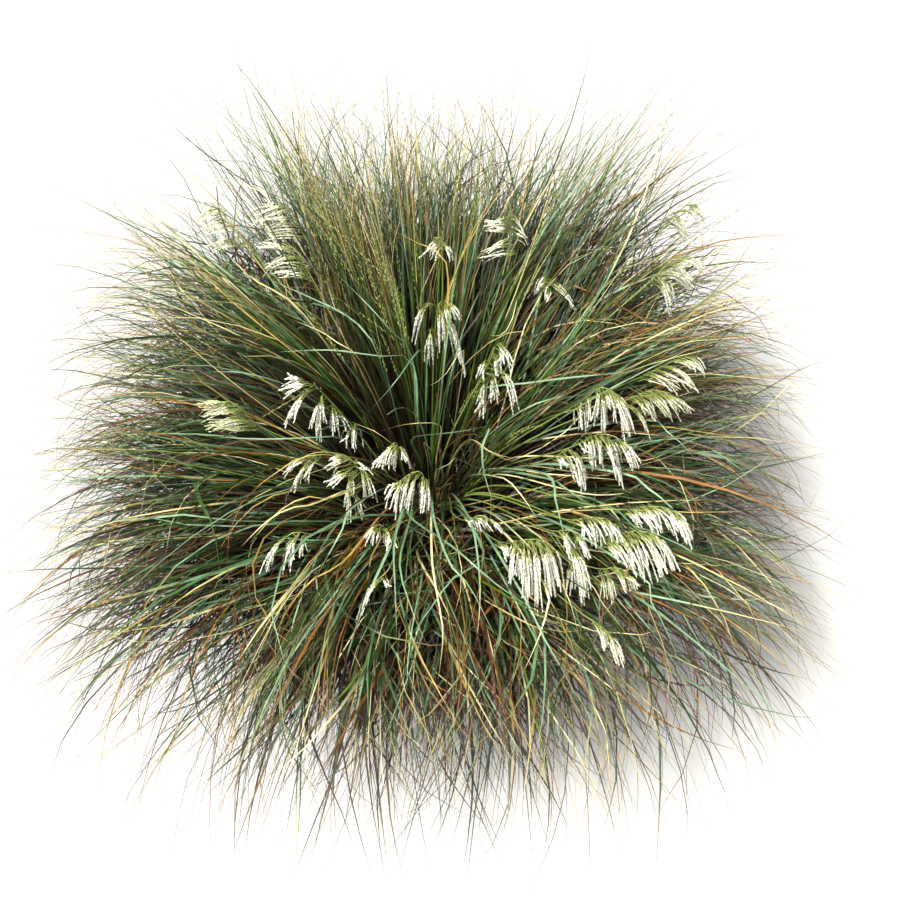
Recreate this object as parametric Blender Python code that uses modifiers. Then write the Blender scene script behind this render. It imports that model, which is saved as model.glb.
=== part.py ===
"""A tufted hair grass in a plain clay flower pot.

The frame is +Z up with its origin under the middle of the pot, on the surface that the pot stands on.
The pot holds potting soil, and the crown of the plant, a low dome of packed shoots, sits on the soil.
Tufts of arching leaves leave the crown in three rings, and flower stems with nodding heads rise between
them. Each tuft, and each stem with its head, grew as one piece and is one solid.
Lengths are in metres and angles in degrees, unless a name says otherwise.
"""

import math

import bmesh
import bpy
from mathutils import Vector

# The pot, a thrown clay flower pot with a rim band
POT_HEIGHT = 0.235
RIM_RADIUS = 0.128
BAND_HEIGHT = 0.034
BODY_TOP_RADIUS = 0.124
FOOT_RADIUS = 0.090
WALL = 0.009
FLOOR = 0.012
EDGE_ROUND = 0.0025
BAND_DRAFT = 0.001
POT_STEPS = 32
DRAIN_HOLES = 4
DRAIN_RADIUS = 0.008
DRAIN_CIRCLE = 0.048
DRAIN_FIRST = 45
DRAIN_SIDES = 12
DRAIN_DEPTH = 4 * FLOOR

# What the pot holds
GAP = 0.0003
HEADSPACE = 0.024
SOIL_CROWNING = 0.004
CROWN_RADIUS = 0.095
CROWN_SUNK = 0.040
CROWN_STEPS = 24
CROWN_ROWS = 5

# A leaf blade's solid stands for a few real leaves that lie together
BLADE_WIDTH = 0.0075
BLADE_KEEL = 0.0022
BLADE_POINTS = 7
BLADE_FINE_STEPS = 8
BLADE_BEND = 1.4
# A blade's width at its foot and tip, where it is widest, and how late it tapers, as shares
BLADE_FOOT = 0.62
BLADE_TIP = 0.16
BLADE_WIDEST = 0.34
BLADE_TAPER = 1.8
SHEATH_RADIUS = 0.0078
SHEATH_TOP_RADIUS = 0.0052
SHEATH_HEIGHT = 0.017
SHEATH_SIDES = 5
SHEATH_SPREAD = 1.2

# How close the points of a turned profile, or of a curve's walls and end caps, are when they are one point
TURN_WELD = 0.00001
CAP_WELD = 0.000002

# Rings of tufts: the name, tufts, blades in each, angle on the crown's dome, lean of the tips, blade
# length, first azimuth, how far the tips sweep sideways, and how much the ring follows the back corners
RINGS = (
    ("outer", 10, 4, 50, 140, 0.320, 9, 6, 1.0),
    ("middle", 8, 4, 30, 106, 0.342, 3, -6, 1.0),
    ("inner", 6, 4, 12, 58, 0.352, 15, 5, 0.0),
)
LEAN_SPREAD = 7
LEAN_SPREAD_AT_FOOT = 0.3
LENGTH_SPREAD = 0.07
LENGTH_STEPS = 3
TUFT_LEAN_DRIFT = 4
TUFT_LENGTH_DRIFT = 0.04
TUFT_DRIFT_STEP = 2.4

# Leaves grow longer and stand straighter towards the two back corners: at each azimuth, the gain in length
# and the change of the tips' lean
CORNERS = (
    (0, 0.0, 0),
    (20, 0.0, -4),
    (42, 0.28, -22),
    (70, 0.0, -8),
    (110, 0.0, -8),
    (138, 0.28, -22),
    (160, 0.0, -4),
    (180, 0.0, 0),
    (360, 0.0, 0),
)

# Flower stems
STEM_RADIUS = 0.0013
STEM_SIDES = 3
STEM_POINTS = 5
NOD_POINTS = 2
NOD_SHARE = 0.30
NOD_TURN = 66
ARCH_PULL = 0.16
LOWER_PULL = 0.45
LOWER_LEAN = 0.8
LOWER_SLOPE = 0.7
# How thick a stem is at its foot, up to its arch, at the end of its arch and at its tip, as shares
STEM_TAPER = (1.5, 1.0, 1.3, 0.35)
# The three drooping strings that a head's solid has
BRANCH_AT = (0.30, 0.55, 0.80)
BRANCH_POINTS = 3
BRANCH_TAPER = (0.6, 2.0, 0.4)
BRANCH_FIRST_LENGTH = 1.05
BRANCH_LENGTH_LOSS = 0.35
BRANCH_OUT = 0.7
BRANCH_ASIDE = 0.34
BRANCH_ASIDE_LOSS = 0.3
BRANCH_DOWN = 0.25
BRANCH_DOWN_GAIN = 1.3
STEM_CENTRE_REACH = 0.080
STEM_CENTRE_ANGLE = 4
STEM_STEEP_ANGLE = 21
STEM_WIDE_ANGLE = 40
STEM_WIDE_LEAN = 50

# Each stem's azimuth at its foot, the azimuth, reach and height of the top of its arch, the length of its
# head, the azimuth that it nods to, how much it droops, and the length of its longest strings
STEMS = (
    (80, 77, 0.041, 0.490, 0.075, 195, 1.0, 0.072),
    (0, 1, 0.061, 0.475, 0.070, 345, 1.0, 0.066),
    (184, 185, 0.105, 0.430, 0.105, 195, 0.9, 0.048),
    (228, 232, 0.115, 0.425, 0.095, 192, 1.0, 0.056),
    (247, 253, 0.091, 0.427, 0.050, 192, 1.0, 0.036),
    (271, 267, 0.107, 0.425, 0.075, 195, 1.0, 0.048),
    (255, 255, 0.156, 0.405, 0.050, 195, 1.0, 0.026),
    (239, 235, 0.190, 0.419, 0.060, 195, 0.8, 0.048),
    (263, 261, 0.204, 0.422, 0.046, 195, 1.0, 0.040),
    (287, 287, 0.158, 0.412, 0.050, 345, 0.9, 0.028),
    (293, 292, 0.208, 0.440, 0.085, 345, 1.0, 0.068),
    (300, 304, 0.208, 0.436, 0.095, 345, 1.0, 0.050),
    (354, 348, 0.158, 0.450, 0.085, 345, 1.0, 0.060),
    (336, 333, 0.169, 0.440, 0.090, 345, 1.0, 0.056),
    (329, 325, 0.151, 0.430, 0.065, 345, 1.0, 0.044),
    (321, 317, 0.249, 0.455, 0.110, 345, 0.9, 0.060),
    (314, 314, 0.252, 0.450, 0.110, 345, 0.9, 0.056),
    (297, 301, 0.272, 0.380, 0.075, 345, 0.9, 0.034),
    (126, 130, 0.211, 0.500, 0.120, 168, 0.4, 0.046),
    (150, 136, 0.177, 0.480, 0.100, 168, 0.4, 0.046),
    (138, 141, 0.265, 0.490, 0.110, 168, 0.5, 0.040),
    (196, 197, 0.176, 0.450, 0.095, 190, 0.5, 0.046),
    (28, 33, 0.290, 0.500, 0.130, 12, 0.5, 0.050),
    (16, 24, 0.249, 0.485, 0.115, 12, 0.5, 0.050),
    (0, 356, 0.218, 0.465, 0.110, 350, 0.7, 0.052),
    (60, 58, 0.146, 0.530, 0.105, 185, 0.6, 0.042),
    (40, 38, 0.137, 0.490, 0.070, 345, 0.8, 0.044),
    (83, 85, 0.094, 0.520, 0.080, 190, 0.6, 0.036),
    (307, 307, 0.221, 0.454, 0.080, 345, 1.0, 0.040),
    (311, 307, 0.258, 0.410, 0.080, 345, 1.0, 0.044),
    (342, 352, 0.204, 0.455, 0.090, 350, 0.9, 0.050),
)

SOIL_TOP = POT_HEIGHT - HEADSPACE
DOME_CENTRE = SOIL_TOP + GAP - CROWN_SUNK

CLAY = ("fired clay", (0.46, 0.20, 0.11), 0.85)
SOIL = ("potting soil", (0.045, 0.032, 0.024), 0.95)
SHOOTS = ("packed shoots", (0.27, 0.20, 0.09), 0.80)
LEAF = ("grass leaf", (0.13, 0.22, 0.13), 0.50)
FLOWER = ("grass flower head", (0.66, 0.66, 0.44), 0.60)


def material(name, colour, roughness):
    made = bpy.data.materials.get(name) or bpy.data.materials.new(name)
    made.use_nodes = True
    shader = made.node_tree.nodes["Principled BSDF"]
    shader.inputs["Base Color"].default_value = (*colour, 1.0)
    shader.inputs["Roughness"].default_value = roughness
    shader.inputs["Metallic"].default_value = 0.0
    return made


def new_collection(name):
    made = bpy.data.collections.new(name)
    bpy.context.scene.collection.children.link(made)
    return made


def new_object(name, data, collection, finish=None):
    made = bpy.data.objects.new(name, data)
    collection.objects.link(made)
    if finish:
        data.materials.append(material(*finish))
    return made


def frozen(obj, name, collection, finish, weld=0.0):
    """A new object that holds obj's evaluated mesh, with points this close welded. obj is removed."""
    bpy.context.view_layer.update()
    graph = bpy.context.evaluated_depsgraph_get()
    mesh = bpy.data.meshes.new_from_object(obj.evaluated_get(graph))
    mesh.name = name
    mesh.materials.clear()
    matrix = obj.matrix_world.copy()
    bpy.data.objects.remove(obj)
    work = bmesh.new()
    work.from_mesh(mesh)
    if weld:
        bmesh.ops.remove_doubles(work, verts=work.verts, dist=weld)
        bmesh.ops.recalc_face_normals(work, faces=work.faces)
    work.to_mesh(mesh)
    work.free()
    made = new_object(name, mesh, collection, finish)
    made.matrix_world = matrix
    return made


def joined(base, others, name, collection, finish):
    """base with every other solid united to it, as one mesh. All of them are removed."""
    for other in others:
        union = base.modifiers.new("join", "BOOLEAN")
        union.operation = "UNION"
        union.solver = "EXACT"
        union.use_self = True
        union.object = other
    made = frozen(base, name, collection, finish)
    for other in others:
        bpy.data.objects.remove(other)
    return made


def turned(name, profile, steps, collection, finish):
    """A solid of revolution. Its profile runs from the axis, up the inside and down the outside."""
    mesh = bpy.data.meshes.new(name)
    points = [(radius, 0.0, height) for radius, height in profile]
    mesh.from_pydata(points, [(i, i + 1) for i in range(len(points) - 1)], [])
    made = new_object(name, mesh, collection, finish)
    screw = made.modifiers.new("turn", "SCREW")
    screw.steps = screw.render_steps = steps
    screw.use_merge_vertices = True
    screw.merge_threshold = TURN_WELD
    screw.use_smooth_shade = True
    return made


def outer_radius(height):
    """The radius of the pot's tapered wall at a height above its foot, as if it had no rim band."""
    return FOOT_RADIUS + (BODY_TOP_RADIUS - FOOT_RADIUS) * height / POT_HEIGHT


def pot_profile():
    """The pot's section: its floor, wall, rim and rim band, with the corners eased."""
    inner_foot = FOOT_RADIUS - WALL
    inner_top = BODY_TOP_RADIUS - WALL
    band_bottom = POT_HEIGHT - BAND_HEIGHT
    return (
        (0.0, FLOOR),
        (inner_foot - EDGE_ROUND, FLOOR),
        (inner_foot, FLOOR + EDGE_ROUND),
        (inner_top, POT_HEIGHT - EDGE_ROUND),
        (inner_top + EDGE_ROUND, POT_HEIGHT),
        (RIM_RADIUS - EDGE_ROUND, POT_HEIGHT),
        (RIM_RADIUS, POT_HEIGHT - EDGE_ROUND),
        (RIM_RADIUS - BAND_DRAFT, band_bottom + EDGE_ROUND),
        (RIM_RADIUS - BAND_DRAFT - EDGE_ROUND, band_bottom),
        (outer_radius(band_bottom), band_bottom),
        (outer_radius(EDGE_ROUND), EDGE_ROUND),
        (FOOT_RADIUS - EDGE_ROUND, 0.0),
        (0.0, 0.0),
    )


def inner_radius(height):
    """The radius of the pot's inside at a height above its foot."""
    low, high = FLOOR + EDGE_ROUND, POT_HEIGHT - EDGE_ROUND
    share = (height - low) / (high - low)
    return FOOT_RADIUS - WALL + share * (BODY_TOP_RADIUS - FOOT_RADIUS)


def make_pot(parts, cutters):
    pot = turned("pot", pot_profile(), POT_STEPS, parts, CLAY)
    for number in range(DRAIN_HOLES):
        angle = math.radians(DRAIN_FIRST + 360 * number / DRAIN_HOLES)
        mesh = bpy.data.meshes.new(f"drain_{number + 1}")
        work = bmesh.new()
        bmesh.ops.create_cone(
            work,
            cap_ends=True,
            segments=DRAIN_SIDES,
            radius1=DRAIN_RADIUS,
            radius2=DRAIN_RADIUS,
            depth=DRAIN_DEPTH,
        )
        work.to_mesh(mesh)
        work.free()
        drill = new_object(mesh.name, mesh, cutters)
        drill.location = (DRAIN_CIRCLE * math.cos(angle), DRAIN_CIRCLE * math.sin(angle), FLOOR / 2)
        drill.hide_render = True
        drill.display_type = "WIRE"
        cut = pot.modifiers.new(mesh.name, "BOOLEAN")
        cut.operation = "DIFFERENCE"
        cut.solver = "EXACT"
        cut.object = drill
    return pot


def make_soil(parts):
    """Soil that fills the pot to the headspace, with a top that rises a little to its middle."""
    bottom = FLOOR + EDGE_ROUND
    profile = (
        (0.0, SOIL_TOP),
        (CROWN_RADIUS, SOIL_TOP),
        (inner_radius(SOIL_TOP - SOIL_CROWNING) - 2 * GAP, SOIL_TOP - SOIL_CROWNING),
        (inner_radius(bottom) - 2 * GAP, bottom),
        (inner_radius(bottom) - EDGE_ROUND - 2 * GAP, FLOOR + GAP),
        (0.0, FLOOR + GAP),
    )
    return turned("soil", profile, POT_STEPS, parts, SOIL)


def make_crown(parts):
    """The dome of packed shoot bases that stands on the soil."""
    edge = math.acos(CROWN_SUNK / CROWN_RADIUS)
    arc = [edge * number / CROWN_ROWS for number in range(CROWN_ROWS + 1)]
    profile = [
        (CROWN_RADIUS * math.sin(angle), DOME_CENTRE + CROWN_RADIUS * math.cos(angle)) for angle in arc
    ]
    profile.append((0.0, DOME_CENTRE + CROWN_SUNK))
    return turned("crown", profile, CROWN_STEPS, parts, SHOOTS)


def heading(azimuth):
    return Vector((math.cos(math.radians(azimuth)), math.sin(math.radians(azimuth)), 0.0))


def leaning(azimuth, lean):
    """The direction that leans this far from straight up, towards the azimuth."""
    angle = math.radians(lean)
    return heading(azimuth) * math.sin(angle) + Vector((0.0, 0.0, math.cos(angle)))


def on_dome(azimuth, angle, lift=GAP):
    """A point just off the crown's dome, at this angle from its top."""
    return Vector((0.0, 0.0, DOME_CENTRE)) + leaning(azimuth, angle) * (CROWN_RADIUS + lift)


def blade_path(start, azimuth, lean_start, lean_end, length, sweep):
    """Points along a blade that leans out more and more towards its tip."""
    steps = (BLADE_POINTS - 1) * BLADE_FINE_STEPS
    place = start.copy()
    points = [place.copy()]
    for step in range(steps):
        share = (step + 0.5) / steps
        lean = lean_start + (lean_end - lean_start) * share**BLADE_BEND
        place += leaning(azimuth + sweep * share, lean) * (length / steps)
        if (step + 1) % BLADE_FINE_STEPS == 0:
            points.append(place.copy())
    return points


def section(name, corners, collection):
    """A closed flat outline that a curve carries along itself as its section."""
    data = bpy.data.curves.new(name, "CURVE")
    data.dimensions = "2D"
    spline = data.splines.new("POLY")
    spline.points.add(len(corners) - 1)
    for point, (across, up) in zip(spline.points, corners):
        point.co = (across, up, 0.0, 1.0)
    spline.use_cyclic_u = True
    made = new_object(name, data, collection)
    made.hide_render = True
    made.display_type = "WIRE"
    return made


def strand_curve(name, strands, outline, twist, collection):
    """One curve object with a spline for each strand, a list of points with their radii."""
    data = bpy.data.curves.new(name, "CURVE")
    data.dimensions = "3D"
    data.twist_mode = twist
    data.bevel_mode = "OBJECT"
    data.bevel_object = outline
    data.use_fill_caps = True
    for points, radii in strands:
        spline = data.splines.new("POLY")
        spline.points.add(len(points) - 1)
        for point, place, radius in zip(spline.points, points, radii):
            point.co = (*place, 1.0)
            point.radius = radius
    return new_object(name, data, collection)


def blade_radius(share):
    """A blade is narrow where it leaves its sheath, widest a third of the way up, and fine at its tip."""
    if share < BLADE_WIDEST:
        return BLADE_FOOT + (1.0 - BLADE_FOOT) * share / BLADE_WIDEST
    return max(BLADE_TIP, 1.0 - ((share - BLADE_WIDEST) / (1.0 - BLADE_WIDEST)) ** BLADE_TAPER)


def at_corner(azimuth):
    """How much longer blades grow at this azimuth, and how the lean of their tips changes."""
    azimuth %= 360
    low, high = next(pair for pair in zip(CORNERS, CORNERS[1:]) if azimuth <= pair[1][0])
    part = (azimuth - low[0]) / (high[0] - low[0])
    return [start + part * (end - start) for start, end in zip(low[1:], high[1:])]


def make_sheath(azimuth, angle, collection):
    """The short stout foot in which a tuft's blades are packed together, square to the crown."""
    mesh = bpy.data.meshes.new("sheath")
    work = bmesh.new()
    bmesh.ops.create_cone(
        work,
        cap_ends=True,
        segments=SHEATH_SIDES,
        radius1=SHEATH_RADIUS,
        radius2=SHEATH_TOP_RADIUS,
        depth=SHEATH_HEIGHT,
    )
    work.to_mesh(mesh)
    work.free()
    sheath = new_object("sheath", mesh, collection)
    sheath.location = on_dome(azimuth, angle, GAP + SHEATH_HEIGHT / 2)
    sheath.rotation_euler = (0.0, math.radians(angle), math.radians(azimuth))
    return sheath


def make_tuft(name, place, azimuth, ring, outline, parts, cutters):
    """A sheath with blades that fan out sideways. Alternate blades stand a little higher."""
    _, tufts, blades, angle, lean_end, length, _, sweep, follows = ring
    sector = 360 / tufts
    lean_end += TUFT_LEAN_DRIFT * math.sin(TUFT_DRIFT_STEP * place)
    length *= 1 + TUFT_LENGTH_DRIFT * math.cos(TUFT_DRIFT_STEP * place)
    radii = [blade_radius(point / (BLADE_POINTS - 1)) for point in range(BLADE_POINTS)]
    strands = []
    for number in range(blades):
        aside = (number + 0.5) / blades - 0.5
        level = 1 if number % 2 else -1
        way = azimuth + aside * sector
        gain, change = at_corner(way)
        shorter = LENGTH_SPREAD * (number % LENGTH_STEPS) / (LENGTH_STEPS - 1)
        across = heading(azimuth + 90) * (aside * SHEATH_SPREAD * SHEATH_RADIUS)
        start = on_dome(azimuth, angle, 0.5 * SHEATH_HEIGHT) + across
        points = blade_path(
            start,
            way,
            angle - level * LEAN_SPREAD_AT_FOOT * LEAN_SPREAD,
            lean_end - level * LEAN_SPREAD + follows * change,
            length * (1 - shorter) * (1 + follows * gain),
            sweep,
        )
        strands.append((points, radii))
    blades_curve = strand_curve("blades", strands, outline, "Z_UP", cutters)
    blades_mesh = frozen(blades_curve, "blades", cutters, None, CAP_WELD)
    return joined(make_sheath(azimuth, angle, cutters), [blades_mesh], name, parts, LEAF)


def stem_path(foot, azimuth, reach, height, head, fall, droop):
    """Points up a stem to the top of its arch and on down its nod, which turns to the fall azimuth."""
    lean = math.degrees(math.atan2(reach, height - SOIL_TOP))
    angle = STEM_WIDE_ANGLE if lean > STEM_WIDE_LEAN else STEM_STEEP_ANGLE
    if reach < STEM_CENTRE_REACH:
        angle = STEM_CENTRE_ANGLE
    start = on_dome(foot, angle)
    top = heading(azimuth) * reach + Vector((0.0, 0.0, height))
    span = (top - start).length
    outward = heading(azimuth).dot(top - start)
    slope = math.degrees(math.atan2(outward, top.z - start.z))
    lower = start + leaning(azimuth, min(LOWER_LEAN * angle, LOWER_SLOPE * slope)) * span * LOWER_PULL
    upper = top - heading(fall) * ARCH_PULL * span
    pulls = (start, lower, upper, top)
    points = []
    for number in range(STEM_POINTS + 1):
        t = number / STEM_POINTS
        weights = ((1 - t) ** 3, 3 * t * (1 - t) ** 2, 3 * t * t * (1 - t), t**3)
        points.append(sum((pull * weight for pull, weight in zip(pulls, weights)), Vector()))
    step = NOD_SHARE * head / NOD_POINTS
    for number in range(NOD_POINTS):
        share = (number + 0.5) / NOD_POINTS
        points.append(points[-1] + leaning(fall, 90 + NOD_TURN * droop * share) * step)
    return points


def back_along(points, distance):
    """The point at this distance back from the end of a run of points."""
    for far, near in zip(reversed(points), reversed(points[:-1])):
        step = (far - near).length
        if distance <= step:
            return far.lerp(near, distance / step)
        distance -= step
    return points[0].copy()


def branch_path(start, outward, aside, droop, length):
    """A drooping string of the head: it leaves outwards and turns to hang down."""
    place = start.copy()
    points = [place.copy()]
    steps = BRANCH_POINTS - 1
    for number in range(steps):
        share = (number + 0.5) / steps
        fall = droop * (BRANCH_DOWN + BRANCH_DOWN_GAIN * share)
        turn = outward * BRANCH_OUT + aside * (BRANCH_ASIDE - BRANCH_ASIDE_LOSS * share)
        place += (turn - Vector((0.0, 0.0, fall))).normalized() * length / steps
        points.append(place.copy())
    return points


def make_stem(name, stem, outline, parts, cutters):
    """A stem that nods at its top, with three of its head's drooping strings."""
    *arch, head, fall, droop, string = stem
    points = stem_path(*arch, head, fall, droop)
    low, middle, high, tip = STEM_TAPER
    radii = [low] + [middle] * STEM_POINTS + [high, tip]
    stem_curve = strand_curve("stem", [(points, radii)], outline, "MINIMUM", cutters)
    strands = []
    for number, share in enumerate(BRANCH_AT):
        place = back_along(points, (1 - share) * head)
        aside = heading(fall + 90) if number % 2 else heading(fall - 90)
        length = string * (BRANCH_FIRST_LENGTH - BRANCH_LENGTH_LOSS * share)
        strands.append((branch_path(place, heading(fall), aside, droop, length), BRANCH_TAPER))
    branches_curve = strand_curve("branches", strands, outline, "MINIMUM", cutters)
    stem_mesh = frozen(stem_curve, "stem", cutters, None, CAP_WELD)
    branches_mesh = frozen(branches_curve, "branches", cutters, None, CAP_WELD)
    return joined(stem_mesh, [branches_mesh], name, parts, FLOWER)


def main():
    for obj in list(bpy.data.objects):
        bpy.data.objects.remove(obj)
    parts = new_collection("potted tufted hair grass")
    cutters = new_collection("cutters and outlines")
    make_pot(parts, cutters)
    make_soil(parts)
    make_crown(parts)
    half = BLADE_WIDTH / 2
    blade_outline = section("blade_outline", ((-half, 0.0), (0.0, -BLADE_KEEL), (half, 0.0)), cutters)
    turns = [math.radians(90 + 360 * number / STEM_SIDES) for number in range(STEM_SIDES)]
    corners = [(STEM_RADIUS * math.cos(turn), STEM_RADIUS * math.sin(turn)) for turn in turns]
    stem_outline = section("stem_outline", corners, cutters)
    for ring in RINGS:
        label, tufts, first = ring[0], ring[1], ring[6]
        for number in range(tufts):
            azimuth = first + 360 * number / tufts
            name = f"leaf_tuft_{label}_{number + 1:02d}"
            make_tuft(name, number, azimuth, ring, blade_outline, parts, cutters)
    for number, stem in enumerate(STEMS):
        make_stem(f"flower_stem_{number + 1:02d}", stem, stem_outline, parts, cutters)


main()
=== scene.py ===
"""The dressed potted tufted hair grass: its looks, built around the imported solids.

Every leaf tuft and flower stem of the frame is replaced by a mesh of its real leaves or its real head. The
pot is replaced by a rounder one of the same section, the soil and crown get crumbs and dead thatch, and some
leaves and young heads are pieces of their own.
Lengths are in metres and angles in degrees, unless a name says otherwise. -Y is towards the viewer.
"""

import math

import bmesh
import bpy
import numpy as np
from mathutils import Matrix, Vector


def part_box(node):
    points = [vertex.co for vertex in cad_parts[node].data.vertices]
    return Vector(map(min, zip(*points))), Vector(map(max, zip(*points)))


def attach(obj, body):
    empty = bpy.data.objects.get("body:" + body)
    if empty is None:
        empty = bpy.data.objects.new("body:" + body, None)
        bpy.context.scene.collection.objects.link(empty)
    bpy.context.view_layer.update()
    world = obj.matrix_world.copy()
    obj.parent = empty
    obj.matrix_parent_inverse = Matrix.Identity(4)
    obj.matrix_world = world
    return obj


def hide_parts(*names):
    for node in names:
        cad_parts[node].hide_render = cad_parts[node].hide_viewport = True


SEED = 41
BODY = "root"
# The empty edge of a cell in the bake, as a share of it
CELL_MARGIN = 0.06

# The view: the photograph looks down on the plant from the front at about 50 degrees
LOOK_AT = (0.020, 0.0, 0.326)
VIEW_ELEVATION = 50
VIEW_DISTANCE = 1.25
LENS = 50
SENSOR = 36

# The lights, each with where it comes from, its spread and strength: the key and a weak soft one from the front
LIGHTS = (
    ("key", (-0.42, -0.50, 1.0), 7, 8.3),
    ("front", (0.30, -0.90, 0.80), 24, 2.1),
)
SUN_COLOUR = (1.0, 0.98, 0.94)
FILL_STRENGTH = 0.20
FILL_COLOUR = (0.94, 0.97, 1.0)
# What stands around the plant and isn't part of it
FLOOR_SIZE = 12
FLOOR_COLOUR = (0.44, 0.44, 0.435)
BACKDROP_COLOUR = (0.90, 0.91, 0.92)

# The pot and what it holds, as the frame has them, and how many sides the pot and its drain holes have here
RIM_RADIUS = 0.128
BODY_TOP_RADIUS = 0.124
FOOT_RADIUS = 0.090
BAND_HEIGHT = 0.034
WALL = 0.009
INNER_TOP = BODY_TOP_RADIUS - WALL
FLOOR = 0.012
DRAIN_HOLES = 4
DRAIN_RADIUS = 0.008
DRAIN_CIRCLE = 0.048
POT_SIDES = 96
DRAIN_SIDES = 28
SOIL_CROWNING = 0.004
CROWN_RADIUS = 0.095
CROWN_SUNK = 0.040
# How deep in the crown its leaves and stems start
ROOTED = 0.002

# The rings of tufts: tufts, first azimuth, dome angles that its leaves grow at, leaves in a tuft, and the shares
# of them that are green, thin straws, dead, and fine upright culms
RINGS = {
    "outer": (10, 9, (36, 60), 500, (0.52, 0.15, 0.30, 0.03)),
    "middle": (8, 3, (19, 41), 330, (0.52, 0.15, 0.15, 0.18)),
    "inner": (6, 15, (1, 22), 260, (0.31, 0.12, 0.09, 0.48)),
}
SHOOT_LEAVES = 5
GREEN, STRAW, DEAD, CULM = range(4)
# How each kind differs: its tips' lean, its width, and how much it wanders
KIND_LEANS = (0, -4, 26, -22)
KIND_WIDTHS = (1.0, 0.62, 0.80, 0.56)
KIND_WANDER = (1.1, 1.6, 1.4, 0.5)
STRAYS = 0.36
# Tufts that grow nearer the crown's top than this have fewer leaves towards the viewer. The rest is the share of
# the leaves at the plant's sides, how much more or less it is at the back and front, and the dead ones left out there
SKIRT_ANGLE = 50
SIDE_CROWD = 0.74
BACK_CROWD = 0.26
DEAD_OUT = 0.6
# How far to each side a tuft's shoots stand, as a share of its sector
SHOOT_SPAN = 0.54
# How leaves vary, as standard deviations in degrees: the way that a shoot faces, where in it a leaf starts and at
# what angle, the way that it goes, a stray's way, its tip's and foot's lean, its sweep and wave, its roll and twist
SHOOT_WAY = 23
LEAF_START = 1.2
LEAF_ANGLE = 1.0
LEAF_WAY = 13
STRAY_WAY = 45
TIP_LEAN = 19
FOOT_LEAN = 3.5
SWEEP = 30
WAVE = 8.0
ROLL = 26
TWIST = 55
# The curl of strays, and the waves and kinks of all leaves: how many waves, the share with a kink, where and its turn
STRAY_CURLS = (20, 130)
WAVES = (0.6, 1.5)
KINKED = 0.05
KINK_PLACES = (0.35, 0.8)
KINKS = (25, 60)
CURL_BEGINS = 0.4
# Where along them green leaves turn dry, with its standard deviation and limits, and how soon they are all dry
DRY_FROM = (0.84, 0.13)
DRY_LIMITS = (0.35, 1.05)
DRY_FADE = 0.14
# The leans that tips are held to, and all of a leaf
TIP_LIMITS = (10, 158)
LEAN_LIMITS = (2, 172)
# How leaves' leans grow along them, their lengths as shares, their widths, how much wider a few are, and as shares
# of a leaf's width its tip and the depth of its keel below
LEAF_POWERS = (0.8, 2.6)
LENGTH_MOST = 1.05
LENGTH_LESS = 0.45
LEAF_WIDTHS = (0.0010, 0.0017)
WIDE_LEAF = 0.0021
LEAST_WIDTH = 0.07
KEEL = 0.42
# How bright a dead leaf's dry colour may be, and how fresh a culm's green
DEAD_SHADE = 0.45
CULM_FRESH = (0.6, 1.0)
# How much narrower and darker leaves are at the back
BACK_NARROWER = 0.14
BACK_DARKER = 0.22
# How far around the pot's rim, and over it, leaves stay, and over what share of a leaf its lift for that grows
RIM_INSIDE = 0.012
RIM_OUTSIDE = 0.006
RIM_OVER = 0.004
RIM_LIFT = 0.12
# How a leaf's course depends on the dome angle that it grows at
DOME_ANGLES = (0, 12, 30, 50, 58)
TIP_LEANS = (28, 56, 104, 138, 146)
LEAF_LENGTHS = (0.330, 0.350, 0.342, 0.325, 0.315)
LEAF_POINTS = 11
# How far leaves may reach to the sides, to the front and back, and up, and how square that outline's corners are
LEAF_REACH = (0.384, 0.376)
LEAF_TOP = 0.606
CORNER_POWER = 5
# Leaves grow longer, straighter and in greater number towards the picture's corners
CORNER_AZIMUTHS = (0, 15, 42, 68, 112, 138, 165, 180, 222, 270, 318, 360)
CORNER_LENGTHS = (1.06, 1.18, 1.42, 1.20, 1.20, 1.42, 1.16, 1.08, 1.34, 1.00, 1.34, 1.08)
CORNER_LEANS = (0, -8, -24, -12, -12, -24, -8, 0, -12, 0, -12, 0)
CORNER_CROWDS = (1.0, 1.3, 2.6, 1.2, 1.2, 2.6, 1.3, 1.1, 2.5, 0.96, 2.6, 1.1)

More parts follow.
